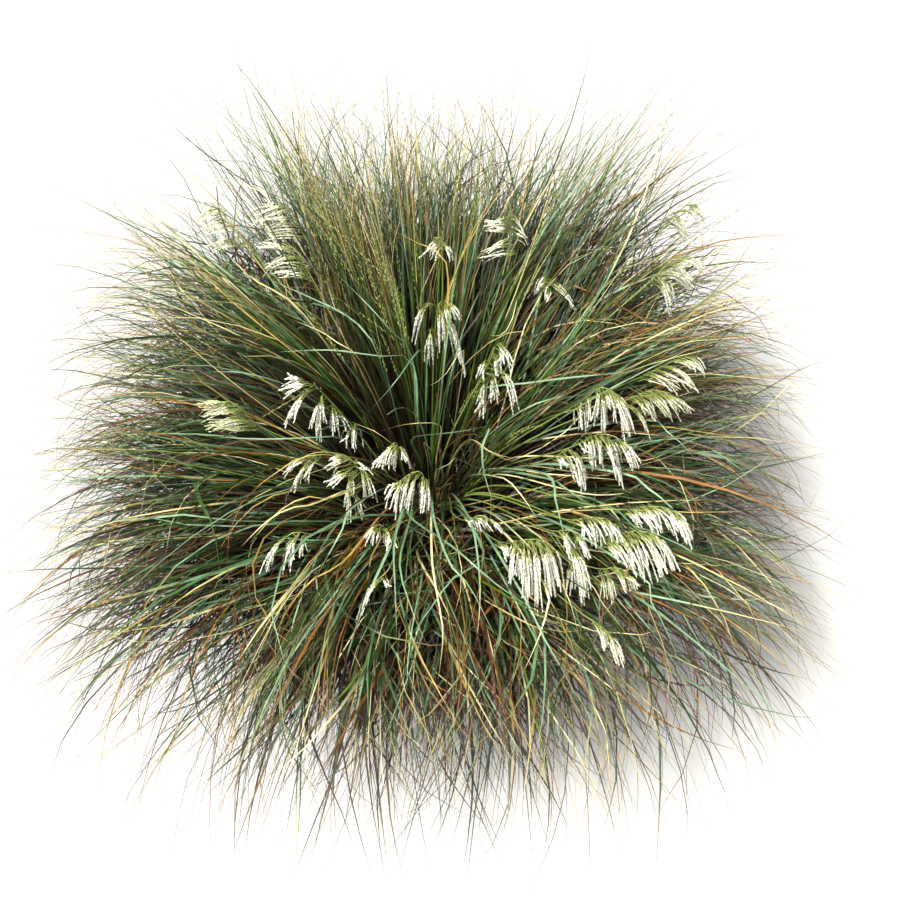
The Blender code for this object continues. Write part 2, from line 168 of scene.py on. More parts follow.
# Each flower stem: the azimuth of its foot on the crown, the top of its arch in the picture and its height, the
# azimuth that it nods to, where in the picture it comes from and where it ends, how bleached it is, and fans of
# strings. A fan's strings start between its first two places in the picture and end between its last two. Its
# last number is how many they are
HEADS = (
    (80, (438, 302), 0.490, 195, (432, 340), (447, 304), 1.00, (
        (430, 303, 427, 305, 406, 348, 414, 334, 6), (438, 304, 441, 306, 437, 357, 446, 345, 9),
        (440, 312, 443, 316, 470, 383, 457, 362, 8), (444, 304, 450, 303, 465, 324, 461, 318, 6),
        (444, 306, 446, 307, 451, 322, 455, 315, 6), (429, 330, 432, 328, 427, 368, 435, 362, 8))),
    (0, (495, 344), 0.475, 345, (489, 378), (503, 348), 1.00, (
        (498, 345, 503, 347, 517, 367, 512, 369, 7), (498, 350, 501, 350, 505, 367, 503, 362, 6),
        (494, 356, 498, 358, 494, 374, 499, 378, 7), (492, 374, 497, 377, 488, 405, 495, 403, 8),
        (487, 361, 485, 362, 479, 379, 481, 377, 5), (485, 377, 486, 380, 479, 402, 484, 410, 8),
        (483, 392, 485, 396, 481, 420, 484, 412, 6), (499, 371, 502, 371, 514, 413, 518, 395, 8))),
    (184, (316, 386), 0.430, 195, (352, 424), (300, 384), 1.00, (
        (310, 383, 306, 384, 281, 388, 286, 396, 8), (303, 381, 301, 379, 286, 378, 288, 377, 5),
        (310, 389, 307, 393, 285, 426, 291, 422, 7), (321, 395, 323, 399, 324, 426, 322, 418, 6),
        (321, 400, 320, 404, 310, 432, 314, 422, 6), (321, 410, 319, 413, 322, 444, 318, 432, 5),
        (331, 406, 333, 410, 334, 446, 332, 425, 7), (335, 410, 338, 414, 345, 428, 350, 430, 6),
        (353, 424, 358, 425, 352, 452, 359, 448, 9), (351, 429, 350, 431, 341, 445, 345, 440, 5))),
    (228, (348, 456), 0.425, 192, (372, 486), (300, 459), 0.72, (
        (340, 457, 352, 459, 325, 462, 330, 470, 9), (345, 468, 350, 473, 326, 482, 323, 492, 9),
        (350, 474, 355, 477, 343, 505, 352, 500, 10), (360, 469, 365, 474, 363, 501, 377, 500, 9),
        (348, 492, 352, 494, 345, 515, 349, 528, 8), (353, 494, 356, 496, 358, 522, 366, 512, 7),
        (352, 461, 356, 464, 362, 468, 370, 470, 6), (312, 455, 300, 459, 284, 470, 288, 476, 8),
        (314, 458, 310, 462, 290, 488, 295, 494, 8), (318, 456, 315, 460, 303, 482, 308, 478, 6))),
    (247, (397, 442), 0.433, 192, (401, 468), (391, 446), 0.95, (
        (394, 444, 396, 446, 381, 462, 384, 470, 7), (396, 446, 399, 448, 389, 470, 398, 466, 8),
        (399, 446, 401, 449, 405, 463, 411, 466, 6), (391, 450, 390, 453, 370, 468, 374, 466, 5))),
    (271, (421, 471), 0.425, 195, (433, 500), (402, 481), 1.00, (
        (400, 483, 405, 479, 389, 517, 397, 512, 9), (408, 477, 413, 474, 398, 516, 404, 508, 8),
        (415, 474, 420, 475, 408, 508, 412, 514, 8), (421, 477, 425, 479, 420, 510, 423, 515, 8),
        (427, 479, 430, 482, 427, 514, 431, 505, 8), (400, 483, 398, 486, 386, 500, 388, 496, 5))),
    (255, (382, 524), 0.405, 195, (390, 545), (374, 528), 0.85, (
        (378, 525, 374, 528, 366, 541, 370, 536, 6), (380, 528, 379, 531, 374, 548, 377, 543, 6),
        (384, 529, 386, 532, 384, 545, 387, 548, 6), (389, 536, 391, 538, 391, 545, 393, 543, 5))),
    (239, (303, 532), 0.409, 195, (322, 548), (286, 537), 0.95, (
        (287, 537, 284, 540, 257, 582, 272, 560, 10), (300, 534, 295, 536, 281, 577, 292, 560, 11),
        (303, 536, 306, 539, 299, 560, 303, 552, 6))),
    (263, (384, 575), 0.410, 195, (394, 570), (376, 581), 0.95, (
        (383, 577, 379, 580, 356, 622, 363, 607, 9), (382, 578, 384, 580, 385, 588, 382, 586, 5))),
    (287, (478, 515), 0.416, 345, (450, 537), (490, 520), 0.90, (
        (475, 516, 482, 517, 483, 532, 491, 531, 8), (484, 518, 489, 520, 498, 528, 503, 532, 6),
        (464, 521, 472, 517, 468, 527, 478, 526, 7))),
    (293, (520, 540), 0.440, 345, (482, 562), (547, 543), 1.00, (
        (515, 542, 519, 543, 507, 588, 513, 575, 7), (518, 546, 521, 547, 524, 597, 520, 572, 6),
        (520, 543, 527, 543, 527, 615, 530, 590, 9), (527, 542, 535, 542, 541, 628, 538, 590, 13),
        (535, 541, 541, 542, 548, 600, 560, 598, 11), (541, 541, 547, 544, 556, 585, 563, 588, 9),
        (496, 546, 514, 541, 503, 556, 520, 560, 11))),
    (300, (566, 529), 0.434, 345, (542, 546), (579, 535), 1.00, (
        (560, 532, 565, 531, 575, 560, 572, 552, 8), (565, 538, 568, 542, 580, 600, 588, 604, 13),
        (572, 532, 578, 536, 585, 556, 590, 560, 8), (571, 548, 575, 552, 592, 584, 583, 600, 9),
        (571, 560, 572, 564, 565, 600, 570, 590, 5))),
    (354, (599, 387), 0.450, 345, (562, 422), (615, 395), 1.00, (
        (575, 405, 582, 401, 578, 428, 586, 431, 8), (583, 400, 590, 395, 586, 425, 592, 420, 7),
        (596, 389, 600, 391, 592, 433, 598, 415, 9), (599, 390, 602, 391, 603, 432, 607, 428, 8),
        (603, 392, 606, 393, 607, 412, 610, 409, 6), (608, 390, 612, 392, 626, 438, 629, 432, 11),
        (611, 392, 615, 394, 634, 436, 630, 425, 8), (614, 396, 616, 399, 612, 422, 613, 418, 5))),
    (336, (596, 434), 0.440, 345, (556, 464), (622, 442), 1.00, (
        (585, 437, 592, 435, 592, 477, 594, 460, 8), (592, 435, 599, 436, 600, 470, 604, 462, 8),
        (598, 436, 604, 438, 624, 492, 617, 478, 10), (604, 438, 610, 440, 618, 465, 622, 470, 8),
        (616, 441, 622, 442, 634, 473, 638, 468, 9), (620, 441, 624, 443, 640, 462, 636, 458, 6),
        (575, 445, 585, 439, 588, 455, 592, 450, 7))),
    (329, (566, 449), 0.430, 345, (541, 472), (577, 457), 0.90, (
        (568, 450, 574, 453, 580, 472, 586, 478, 9), (573, 454, 577, 457, 584, 490, 586, 500, 8),
        (562, 456, 568, 458, 576, 480, 579, 488, 7), (552, 459, 562, 453, 565, 468, 572, 466, 9))),
    (321, (645, 506), 0.455, 345, (600, 528), (680, 516), 0.95, (
        (622, 513, 634, 508, 636, 526, 648, 528, 9), (634, 508, 648, 506, 655, 532, 666, 530, 12),
        (648, 506, 662, 508, 674, 538, 684, 536, 12), (662, 508, 678, 515, 688, 550, 698, 542, 12))),
    (314, (633, 530), 0.445, 345, (592, 556), (657, 539), 0.92, (
        (602, 546, 614, 537, 616, 560, 638, 576, 14), (614, 536, 630, 531, 638, 580, 656, 582, 15),
        (630, 530, 645, 532, 656, 576, 672, 571, 15), (645, 532, 656, 538, 672, 572, 684, 577, 13))),
    (297, (592, 620), 0.380, 345, (572, 612), (612, 640), 0.80, (
        (590, 621, 600, 628, 600, 645, 610, 652, 10), (600, 628, 612, 640, 615, 660, 630, 666, 12))),
    (126, (290, 209), 0.500, 168, (312, 252), (276, 200), 0.64, (
        (300, 222, 285, 204, 258, 231, 250, 208, 12), (306, 240, 299, 224, 264, 240, 262, 228, 9),
        (292, 212, 280, 202, 270, 216, 262, 204, 8))),
    (150, (297, 251), 0.480, 168, (322, 296), (276, 244), 0.62, (
        (302, 256, 286, 246, 250, 250, 268, 240, 9), (309, 270, 300, 254, 265, 262, 268, 275, 11),
        (314, 281, 308, 268, 280, 275, 272, 276, 8))),
    (138, (222, 212), 0.490, 168, (244, 250), (210, 203), 0.56, (
        (225, 215, 212, 204, 202, 225, 200, 213, 11), (235, 233, 225, 216, 208, 234, 202, 226, 11),
        (242, 248, 236, 236, 210, 258, 203, 246, 11))),
    (196, (240, 406), 0.450, 190, (266, 452), (220, 402), 0.42, (
        (257, 430, 246, 413, 215, 433, 203, 425, 14), (246, 412, 236, 405, 202, 420, 198, 408, 14),
        (236, 405, 222, 402, 200, 407, 204, 400, 9), (257, 432, 252, 422, 228, 434, 222, 428, 8))),
    (28, (678, 210), 0.500, 12, (652, 254), (696, 204), 0.66, (
        (660, 226, 675, 211, 680, 245, 695, 235, 14), (675, 211, 692, 205, 697, 225, 708, 216, 13))),
    (16, (668, 262), 0.485, 12, (644, 298), (688, 257), 0.78, (
        (655, 277, 668, 262, 690, 292, 700, 280, 14), (668, 262, 686, 257, 700, 275, 708, 266, 13),
        (652, 282, 660, 272, 666, 311, 677, 305, 11))),
    (0, (668, 363), 0.465, 350, (622, 392), (696, 358), 0.68, (
        (640, 378, 652, 370, 672, 388, 684, 391, 12), (652, 370, 664, 364, 688, 388, 700, 390, 12),
        (668, 362, 690, 357, 695, 371, 712, 376, 12))),
    (60, (511, 209), 0.530, 185, (518, 262), (505, 199), 0.72, (
        (512, 236, 509, 214, 487, 238, 486, 215, 14), (516, 256, 512, 238, 480, 262, 484, 250, 10),
        (513, 240, 511, 215, 526, 246, 524, 226, 8))),
    (40, (544, 270), 0.490, 345, (552, 312), (539, 276), 0.80, (
        (550, 288, 543, 272, 532, 300, 538, 285, 8), (548, 280, 549, 284, 578, 311, 574, 307, 5),
        (550, 290, 548, 284, 549, 303, 544, 300, 6))),
    (83, (441, 236), 0.520, 190, (446, 280), (434, 238), 0.80, (
        (444, 246, 437, 237, 430, 262, 426, 250, 8), (445, 250, 442, 240, 450, 264, 454, 252, 7))),
    (307, (587, 517), 0.451, 345, (552, 536), (614, 524), 0.92, (
        (573, 522, 582, 518, 592, 545, 586, 536, 8), (583, 517, 595, 518, 594, 549, 603, 541, 9),
        (594, 518, 606, 521, 606, 537, 620, 536, 10), (604, 520, 613, 524, 617, 545, 625, 543, 8))),
    (311, (611, 567), 0.415, 345, (590, 582), (629, 575), 0.62, (
        (600, 573, 608, 568, 605, 597, 613, 602, 9), (611, 568, 620, 570, 623, 590, 630, 597, 9),
        (620, 571, 628, 575, 637, 588, 641, 592, 8))),
    (342, (650, 390), 0.455, 350, (616, 408), (670, 397), 0.54, (
        (626, 402, 640, 393, 648, 414, 664, 424, 13), (638, 393, 652, 390, 664, 416, 682, 424, 13),
        (650, 390, 668, 396, 676, 410, 694, 414, 13), (626, 404, 627, 406, 651, 434, 653, 437, 5))),
)
# The angle on the crown that a stem starts at, if its top is near the middle, or else steep, or leans more than wide
STEM_CENTRE_REACH = 0.080
STEM_CENTRE_ANGLE = 4
STEM_STEEP_ANGLE = 21
STEM_WIDE_ANGLE = 40
STEM_WIDE_LEAN = 50
STEM_POINTS = 34
STEM_RADII = (0.00125, 0.00040)

# A head's strings of spikelets. SPIRAL is the turn from one spikelet to the next, in radians
STRING_POINTS = 7
STRING_RADIUS = 0.00030
# How far strings' ends stray before and behind their head, the share of it for their starts, how far the place
# where they bend strays, and how far to both sides of a spikelet its string's way is taken
STRING_DEPTH = 0.016
STRING_START_DEPTH = 0.3
STRING_JITTER = 0.0012
STRING_AHEAD = 0.003
# How far strings' starts and ends stray in the picture, in pixels, and the least and most of their length that is kept
STRING_START_STRAYS = 1.2
STRING_END_STRAYS = 2.6
STRING_KEPT = (0.72, 1.04)
# How strings bend over before they hang: out along the fall and up, as shares of it
STRING_OUT = (0.62, 0.62, 0.30)
STRING_UP = 0.10
# Where spikelets begin along a string, how far they spread from it, how their sizes vary, and their tones' middle and
# standard deviation
SPIKELETS_BEGIN = (0.08, 0.36)
SPIKELET_SPREADS = (0.04, 0.30)
SPIKELET_SIZES = (0.75, 1.2)
SPIKELET_TONES = (0.6, 0.25)
SPIKELET_LENGTH = 0.0046
SPIKELET_WIDTH = 0.00122
SPIKELET_STEP = 0.00105
SPIKELET_WAIST = 0.42
SPIRAL = 2.4
# Heads that haven't opened: the share of the culms that end in one, the least height of their tips, the spikelets
# in a head, where along the culm it begins and ends, and its spikelets' length, width, spread, sizes and bleach
YOUNG_SHARE = 0.30
YOUNG_LEAST = 0.40
YOUNG_SPIKELETS = 24
YOUNG_BEGINS = 0.74
YOUNG_ENDS = 0.99
YOUNG_LENGTH = 0.0056
YOUNG_WIDTH = 0.00085
YOUNG_SPREADS = (0.12, 0.45)
YOUNG_SIZES = (0.8, 1.2)
YOUNG_BLEACH = (0.02, 0.30)

# The picture's size and focal length in pixels, the room that leaves leave around the heads in it, how far before a
# head a leaf has to be to hide it, and the share of the leaves that may
PICTURE = 900
FOCAL = PICTURE * LENS / SENSOR
HEAD_MARGIN = 3
BEFORE = 0.004
MAY_HIDE = 0.03

# Leaves that the photograph shows one by one: width in millimetres, tone, colour when dry, how far along it is
# green, and places in the picture with their heights in millimetres, from the middle of the plant outwards
SINGLES = (
    (2.5, 0.88, 0.9, 1.0, ((402, 512, 385), (394, 547, 405), (395, 587, 400), (397, 644, 360))),
    (2.3, 0.86, 0.9, 1.0, ((484, 555, 400), (453, 578, 405), (428, 612, 390), (403, 647, 355))),
    (2.2, 0.90, 0.9, 0.9, ((433, 514, 400), (441, 542, 415), (453, 569, 415), (470, 587, 400), (497, 640, 355))),
    (2.3, 0.87, 0.9, 0.9, ((408, 514, 390), (453, 547, 412), (500, 587, 400), (550, 619, 355))),
    (2.5, 0.96, 0.9, 1.0, ((546, 474, 405), (556, 503, 420), (564, 536, 412), (572, 575, 385))),
    (2.6, 0.90, 0.95, 0.86, ((489, 428, 470), (483, 441, 476), (482, 456, 465), (485, 477, 440), (494, 505, 395))),
    (1.9, 0.90, 1.0, 0.6, ((503, 478, 430), (514, 487, 432), (525, 500, 424), (539, 522, 395))),
    (1.7, 0.50, 0.85, 0.0, ((469, 439, 450), (487, 450, 452), (502, 456, 446), (519, 459, 430))),
    (1.5, 0.50, 0.80, 0.0, ((441, 427, 440), (425, 423, 452), (402, 425, 448), (378, 432, 425))),
    (1.8, 0.50, 0.98, 0.0, ((441, 468, 415), (449, 464, 425), (456, 457, 430))),
    (2.3, 0.70, 0.9, 1.0, ((412, 439, 450), (440, 434, 468), (469, 430, 474), (500, 423, 465))),
    (2.2, 0.95, 0.9, 1.0, ((412, 362, 490), (375, 356, 500), (331, 350, 490), (275, 352, 450))),
    (1.8, 0.80, 0.9, 1.0, ((424, 350, 490), (394, 384, 488), (378, 402, 470), (362, 419, 445))),
    (2.1, 0.97, 0.9, 1.0, ((375, 347, 490), (347, 316, 500), (309, 297, 488), (266, 278, 455))),
    (2.4, 1.00, 0.9, 1.0, ((412, 356, 480), (390, 330, 510), (369, 306, 518), (325, 262, 500))),
    (1.9, 0.50, 0.82, 0.0, ((300, 310, 480), (256, 281, 490), (236, 263, 478), (216, 242, 455))),
    (2.0, 0.50, 0.66, 0.0, ((447, 266, 530), (419, 244, 540), (398, 233, 532), (378, 225, 515))),
    (1.7, 0.50, 1.0, 0.0, ((464, 352, 480), (451, 366, 494), (445, 375, 488), (437, 382, 476), (428, 386, 455))),
    (1.8, 0.50, 1.0, 0.0, ((515, 304, 520), (512, 320, 516), (506, 331, 500), (498, 336, 485), (488, 335, 465))),
    (3.4, 0.60, 0.9, 0.9, ((201, 478, 400), (214, 530, 400), (223, 600, 355), (229, 676, 290))),
    (2.5, 0.97, 0.9, 1.0, ((622, 473, 385), (650, 490, 388), (672, 508, 378), (700, 545, 345))),
    (2.3, 0.88, 0.9, 0.95, ((545, 478, 390), (562, 486, 398), (580, 498, 392), (604, 514, 370))),
    (2.2, 1.00, 0.9, 1.0, ((644, 420, 385), (662, 428, 392), (684, 446, 380), (704, 470, 350))),
    (1.6, 0.50, 1.0, 0.0, ((600, 432, 385), (632, 433, 394), (655, 435, 390), (680, 437, 375))),
    (1.6, 0.50, 0.96, 0.0, ((590, 458, 375), (620, 459, 385), (648, 460, 382), (672, 450, 370))),
    (1.6, 0.50, 1.0, 0.0, ((548, 474, 385), (574, 476, 392), (596, 478, 388), (622, 480, 370))),
    (1.6, 0.50, 0.98, 0.0, ((560, 488, 380), (580, 493, 386), (606, 495, 382), (640, 491, 365))),
    (1.5, 0.50, 0.90, 0.0, ((604, 476, 375), (618, 462, 385), (632, 449, 388), (645, 439, 380))),
    (2.4, 0.95, 0.9, 1.0, ((480, 392, 470), (520, 384, 490), (575, 377, 485), (640, 371, 450))),
    (2.2, 0.90, 0.9, 1.0, ((508, 420, 450), (535, 404, 472), (560, 396, 470), (600, 380, 440))),
    (1.5, 0.50, 0.74, 0.0, ((470, 440, 430), (481, 447, 436), (505, 459, 425), (520, 461, 410))),
    (2.0, 0.90, 0.9, 0.8, ((470, 520, 400), (478, 560, 410), (480, 600, 385), (476, 650, 340))),
    (2.2, 0.50, 1.0, 0.0, ((545, 585, 375), (541, 630, 365), (528, 662, 340), (513, 694, 305))),
    (1.8, 0.50, 1.0, 0.0, ((548, 566, 395), (566, 592, 390), (574, 616, 372), (581, 645, 340))),
    (1.8, 0.50, 0.98, 0.0, ((580, 572, 390), (603, 604, 378), (616, 620, 362), (627, 636, 340))),
    (2.6, 0.98, 0.9, 0.9, ((640, 575, 380), (650, 600, 372), (664, 625, 352), (680, 664, 315))),
    (2.5, 0.97, 0.9, 1.0, ((352, 508, 400), (342, 530, 408), (330, 552, 395), (308, 592, 360))),
    (2.0, 0.50, 0.62, 0.0, ((345, 560, 385), (312, 580, 390), (290, 606, 372), (272, 640, 335))),
    (1.9, 0.50, 0.80, 0.0, ((330, 498, 400), (306, 497, 412), (278, 512, 402), (248, 545, 360))),
    (2.0, 0.50, 0.90, 0.0, ((310, 505, 400), (290, 508, 408), (266, 522, 396), (236, 552, 350))),
    (1.9, 0.50, 0.70, 0.0, ((330, 455, 430), (300, 458, 438), (280, 470, 430), (252, 490, 400))),
    (2.2, 0.92, 0.9, 1.0, ((340, 438, 440), (306, 438, 452), (262, 439, 445), (215, 437, 415))),
    (2.3, 0.97, 0.9, 1.0, ((300, 392, 450), (262, 377, 470), (236, 372, 462), (203, 372, 435))),
    (1.7, 0.50, 0.86, 0.0, ((360, 360, 470), (338, 343, 488), (318, 330, 484), (292, 320, 465))),
    (1.7, 0.50, 0.76, 0.0, ((392, 444, 430), (376, 432, 446), (362, 426, 446), (340, 418, 430))),
    (2.0, 0.85, 0.9, 0.8, ((404, 540, 390), (400, 570, 400), (412, 610, 380), (430, 652, 335))),
    (1.9, 0.50, 0.95, 0.0, ((432, 560, 385), (438, 600, 385), (443, 635, 360), (438, 682, 310))),
    (2.4, 0.98, 0.9, 1.0, ((384, 560, 385), (366, 600, 385), (352, 640, 355), (338, 690, 300))),
    (2.3, 0.96, 0.9, 0.9, ((520, 590, 380), (545, 640, 362), (566, 676, 325), (580, 706, 290))),
)
SINGLE_POINTS = 22
# The angles that they grow at on the crown, by how far from the middle their first places are
SINGLE_REACHES = (0.02, 0.30)
SINGLE_ANGLES = (6, 50)
# Which of their points says which way they face, their most roll and twist, and how soon they turn dry
SINGLE_MIDDLE = 14
SINGLE_ROLL = 12
SINGLE_TWIST = 20
SINGLE_DRY_FADE = 0.12
# Where along them they come out of the shade, how soon, and how dark they are in it
SINGLE_SHADED = 0.22
SINGLE_FADE = 0.25
SINGLE_DARKEST = 0.04

# How light comes down between the leaves: the size of a cell, the lowest corner of them all and their number, how
# much leaves block, and the ways that light comes, as cells across and along for each cell up, with its share
SKY_CELL = 0.014
SKY_LOW = (-0.42, -0.42, 0.16)
SKY_CELLS = (60, 60, 33)
SKY_DENSITY = 0.72
SKY_WAYS = ((0.0, 0.0, 0.36), (0.7, 0.0, 0.16), (-0.7, 0.0, 0.16), (0.0, 0.7, 0.16), (0.0, -0.7, 0.16))

# The crumbs on the soil: the least size of a crumb and how much larger the largest is, how far in under the crown
# they begin, how far from the pot they end, and how far out of the soil they stand
CRUMBS = 1200
CRUMB_SIZE = 0.0008
CRUMB_MORE = 0.0026
CRUMBS_BEGIN = 0.86
CRUMBS_END = 0.006
CRUMB_OUT = 0.15
# The thatch on the crown: how far from its top straws grow, how much more they lean at their tips, their lengths and
# widths, how their courses vary as for leaves, how dark they may be, and the light that they get
THATCH_STRAWS = 600
THATCH_ANGLE = 62
THATCH_LEANS = (10, 60)
THATCH_LENGTHS = (0.018, 0.075)
THATCH_WIDTHS = (0.0020, 0.0042)
THATCH_POWERS = (0.8, 1.8)
THATCH_WAY = 30
THATCH_SWEEP = 60
THATCH_ROLL = 50
THATCH_TWIST = 120
THATCH_SHADE = 0.75
THATCH_LIGHT = 0.1


def heading(azimuth):
    """Unit vectors in plan at these azimuths."""
    turn = np.radians(azimuth)
    return np.stack([np.cos(turn), np.sin(turn), np.zeros_like(turn)], axis=-1)


def leaning(azimuth, lean):
    """Unit vectors that lean this far from straight up, towards the azimuth."""
    tilt = np.radians(lean)[..., None]
    return heading(azimuth) * np.sin(tilt) + np.array([0.0, 0.0, 1.0]) * np.cos(tilt)


def unit(vectors):
    return vectors / np.maximum(np.linalg.norm(vectors, axis=-1, keepdims=True), 1e-9)


def on_dome(azimuth, angle):
    """Points just under the crown's surface, at this angle from its top."""
    centre = np.array([0.0, 0.0, DOME_CENTRE])
    return centre + leaning(azimuth, angle) * (CROWN_RADIUS - ROOTED)


def lengths_along(path):
    """How far along a path each of its points is."""
    return np.concatenate([[0], np.cumsum(np.linalg.norm(np.diff(path, axis=0), axis=1))])


def at_lengths(path, lengths, wanted):
    """The points at these lengths along a path."""
    return np.stack([np.interp(wanted, lengths, path[:, k]) for k in range(3)], axis=1)


def evenly(path, count):
    """A path with this many points, evenly along it."""
    lengths = lengths_along(path)
    return at_lengths(path, lengths, np.linspace(0, lengths[-1], count))


def spiral(along, turn):
    """Directions square to these, each at its own turn around them."""
    helper = unit(np.cross(along, [0.3, 0.9, 0.1]))
    return helper * np.cos(turn)[:, None] + np.cross(along, helper) * np.sin(turn)[:, None]


def ring_turns(sides):
    """The angles around a ring with this many sides."""
    return 2 * np.pi * np.arange(sides) / sides


def linked(name, data):
    """A new object in the scene."""
    item = bpy.data.objects.new(name, data)
    bpy.context.scene.collection.objects.link(item)
    return item


# Meshes from arrays


def face_mesh(name, points, groups, values):
    """A mesh of groups of faces with their places in the bake. values are floats for each point."""
    mesh = bpy.data.meshes.new(name)
    mesh.vertices.add(len(points))
    mesh.vertices.foreach_set("co", points.astype(np.float32).ravel())
    corners = np.concatenate([faces.ravel() for faces, _ in groups])
    sizes = np.concatenate([np.full(len(faces), faces.shape[1]) for faces, _ in groups])
    mesh.loops.add(len(corners))
    mesh.loops.foreach_set("vertex_index", corners.astype(np.int32))
    mesh.polygons.add(len(sizes))
    mesh.polygons.foreach_set("loop_start", (np.cumsum(sizes) - sizes).astype(np.int32))
    mesh.update(calc_edges=True)
    for key, numbers in values.items():
        attribute = mesh.attributes.new(key, "FLOAT", "POINT")
        attribute.data.foreach_set("value", np.asarray(numbers, dtype=np.float32).ravel())
    layer = mesh.uv_layers.new(name="OFBake")
    layer.uv.foreach_set("vector", np.concatenate([uvs.reshape(-1) for _, uvs in groups]).astype(np.float32))
    mesh.shade_smooth()
    return mesh


def place(name, mesh, finish, slot, *nodes):
    """A piece of the plant that rides on the body, and stands for these nodes of the frame."""
    piece = linked(name, mesh)
    mesh.materials.append(finish)
    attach(piece, BODY)
    if nodes:
        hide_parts(*nodes)
    return piece


def in_cells(count, columns, u, v):
    """Places in a bake cell, as places in each of count cells that share the bake."""
    rows = math.ceil(count / columns)
    number = np.arange(count).reshape(-1, *[1] * u.ndim)
    across = (number % columns + CELL_MARGIN + (1 - 2 * CELL_MARGIN) * u) / columns
    up = (number // columns + CELL_MARGIN + (1 - 2 * CELL_MARGIN) * v) / rows
    return np.stack([across, up], axis=-1).reshape(-1, u.shape[-1], 2)


def tubes(count, rings, sides, columns, first=0):
    """The faces of closed tubes with these rings and sides, with a cell of the bake for each tube."""
    ring = np.arange(rings - 1)[:, None] * sides
    side = np.arange(sides)[None, :]
    after = (side + 1) % sides
    walls = np.stack([ring + side, ring + after, ring + sides + after, ring + sides + side], axis=-1)
    starts = first + np.arange(count)[:, None, None] * rings * sides
    along = np.arange(rings) / (rings - 1)
    around = np.arange(sides + 1) / sides
    u = np.broadcast_to(np.stack([along[:-1], along[:-1], along[1:], along[1:]], axis=-1)[:, None], walls.shape)
    v = np.broadcast_to(np.stack([around[:-1], around[1:], around[1:], around[:-1]], axis=-1)[None], walls.shape)
    wall_uvs = in_cells(count, columns, u.reshape(-1, 4), v.reshape(-1, 4))
    low = np.arange(sides)[::-1]
    ends = np.stack([low, (rings - 1) * sides + low[::-1]])
    end_u = np.stack([0.01 * np.arange(sides), 1 - 0.01 * np.arange(sides)])
    end_v = np.broadcast_to(np.linspace(0, 0.1, sides), end_u.shape)
    end_uvs = in_cells(count, columns, end_u, end_v)
    return [
        ((walls.reshape(-1, 4)[None] + starts).reshape(-1, 4), wall_uvs),
        ((ends[None] + starts).reshape(-1, sides), end_uvs),
    ]


def grains(count, columns, first=0):
    """The faces of three-sided grains, pointed at both ends, each with five points and a cell of the bake."""
    side = np.arange(3)
    after = (side + 1) % 3
    low = np.stack([np.zeros(3, dtype=int), 1 + after, 1 + side], axis=-1)
    high = np.stack([1 + side, 1 + after, np.full(3, 4)], axis=-1)
    faces = np.concatenate([low, high])
    starts = first + np.arange(count)[:, None, None] * 5
    u = np.where(faces == 0, 0.0, np.where(faces == 4, 1.0, SPIKELET_WAIST))
    v = np.where((faces == 0) | (faces == 4), 0.5, (faces - 1) / 2)
    return [((faces[None] + starts).reshape(-1, 3), in_cells(count, columns, u, v))]


# Leaves


def leaf_courses(rng, start, azimuth, angle, lean_end, length, power, sweep, curl):
    """The points along leaves that leave the crown square to it and lean out more and more.

    start is the azimuth that a leaf grows at, and azimuth the way that it goes.
    """
    share = (np.arange(LEAF_POINTS - 1) + 0.5) / (LEAF_POINTS - 1)
    count = len(angle)
    lean_start = 0.94 * angle + rng.normal(0, FOOT_LEAN, count)
    lean = lean_start[:, None] + (lean_end - lean_start)[:, None] * share ** power[:, None]
    wave = rng.normal(0, WAVE, count)[:, None] * np.sin(
        2 * np.pi * (share * rng.uniform(*WAVES, count)[:, None] + rng.random(count)[:, None])
    )
    kinked = rng.random(count) < KINKED
    kink_at = rng.uniform(*KINK_PLACES, count)
    kink = kinked * rng.uniform(*KINKS, count)
    lean = lean + kink[:, None] * (share > kink_at[:, None])
    late = np.clip((share - CURL_BEGINS) / (1 - CURL_BEGINS), 0, 1) ** 1.3
    way = azimuth[:, None] + sweep[:, None] * share + curl[:, None] * late + wave
    steps = leaning(way, np.clip(lean, *LEAN_LIMITS)) * (length / (LEAF_POINTS - 1))[:, None, None]
    base = on_dome(start, angle)
    return np.concatenate([base[:, None], base[:, None] + np.cumsum(steps, axis=1)], axis=1)


def kept_inside(points):
    """The same leaves, each made shorter about its foot where it would reach past the plant's own reach."""
    foot = points[:, :1]
    spread = ((np.abs(points[..., :2]) / LEAF_REACH) ** CORNER_POWER).sum(-1) ** (1 / CORNER_POWER)
    reach = np.stack([spread, points[..., 2] / LEAF_TOP], axis=-1)
    start = reach[:, 0]
    scale = np.minimum(1.0, ((1 - start) / np.maximum(reach.max(axis=1) - start, 1e-6)).min(axis=1))
    return foot + (points - foot) * scale[:, None, None]


def clear_of_pot(points):
    """The same leaves, lifted where they would pass through the pot's rim."""
    out = np.linalg.norm(points[..., :2], axis=-1)
    over = (out > INNER_TOP - RIM_INSIDE) & (out < RIM_RADIUS + RIM_OUTSIDE)
    lift = np.where(over, np.maximum(0.0, POT_HEIGHT + RIM_OVER - points[..., 2]), 0.0).max(axis=1)
    share = np.clip(np.linspace(0, 1, points.shape[1]) / RIM_LIFT, 0, 1)
    lifted = points.copy()
    lifted[..., 2] += lift[:, None] * share
    return lifted


def frames_along(points, azimuth, roll, twist):
    """The side and the face directions of a leaf at each of its points."""
    tangent = unit(np.gradient(points, axis=1))
    side = heading(azimuth + 90)[:, None]
    side = unit(side - (side * tangent).sum(-1, keepdims=True) * tangent)
    face = np.cross(tangent, side)
    turn = np.radians(roll[:, None] + twist[:, None] * np.linspace(0, 1, points.shape[1]))[..., None]
    return side * np.cos(turn) + face * np.sin(turn), face * np.cos(turn) - side * np.sin(turn)


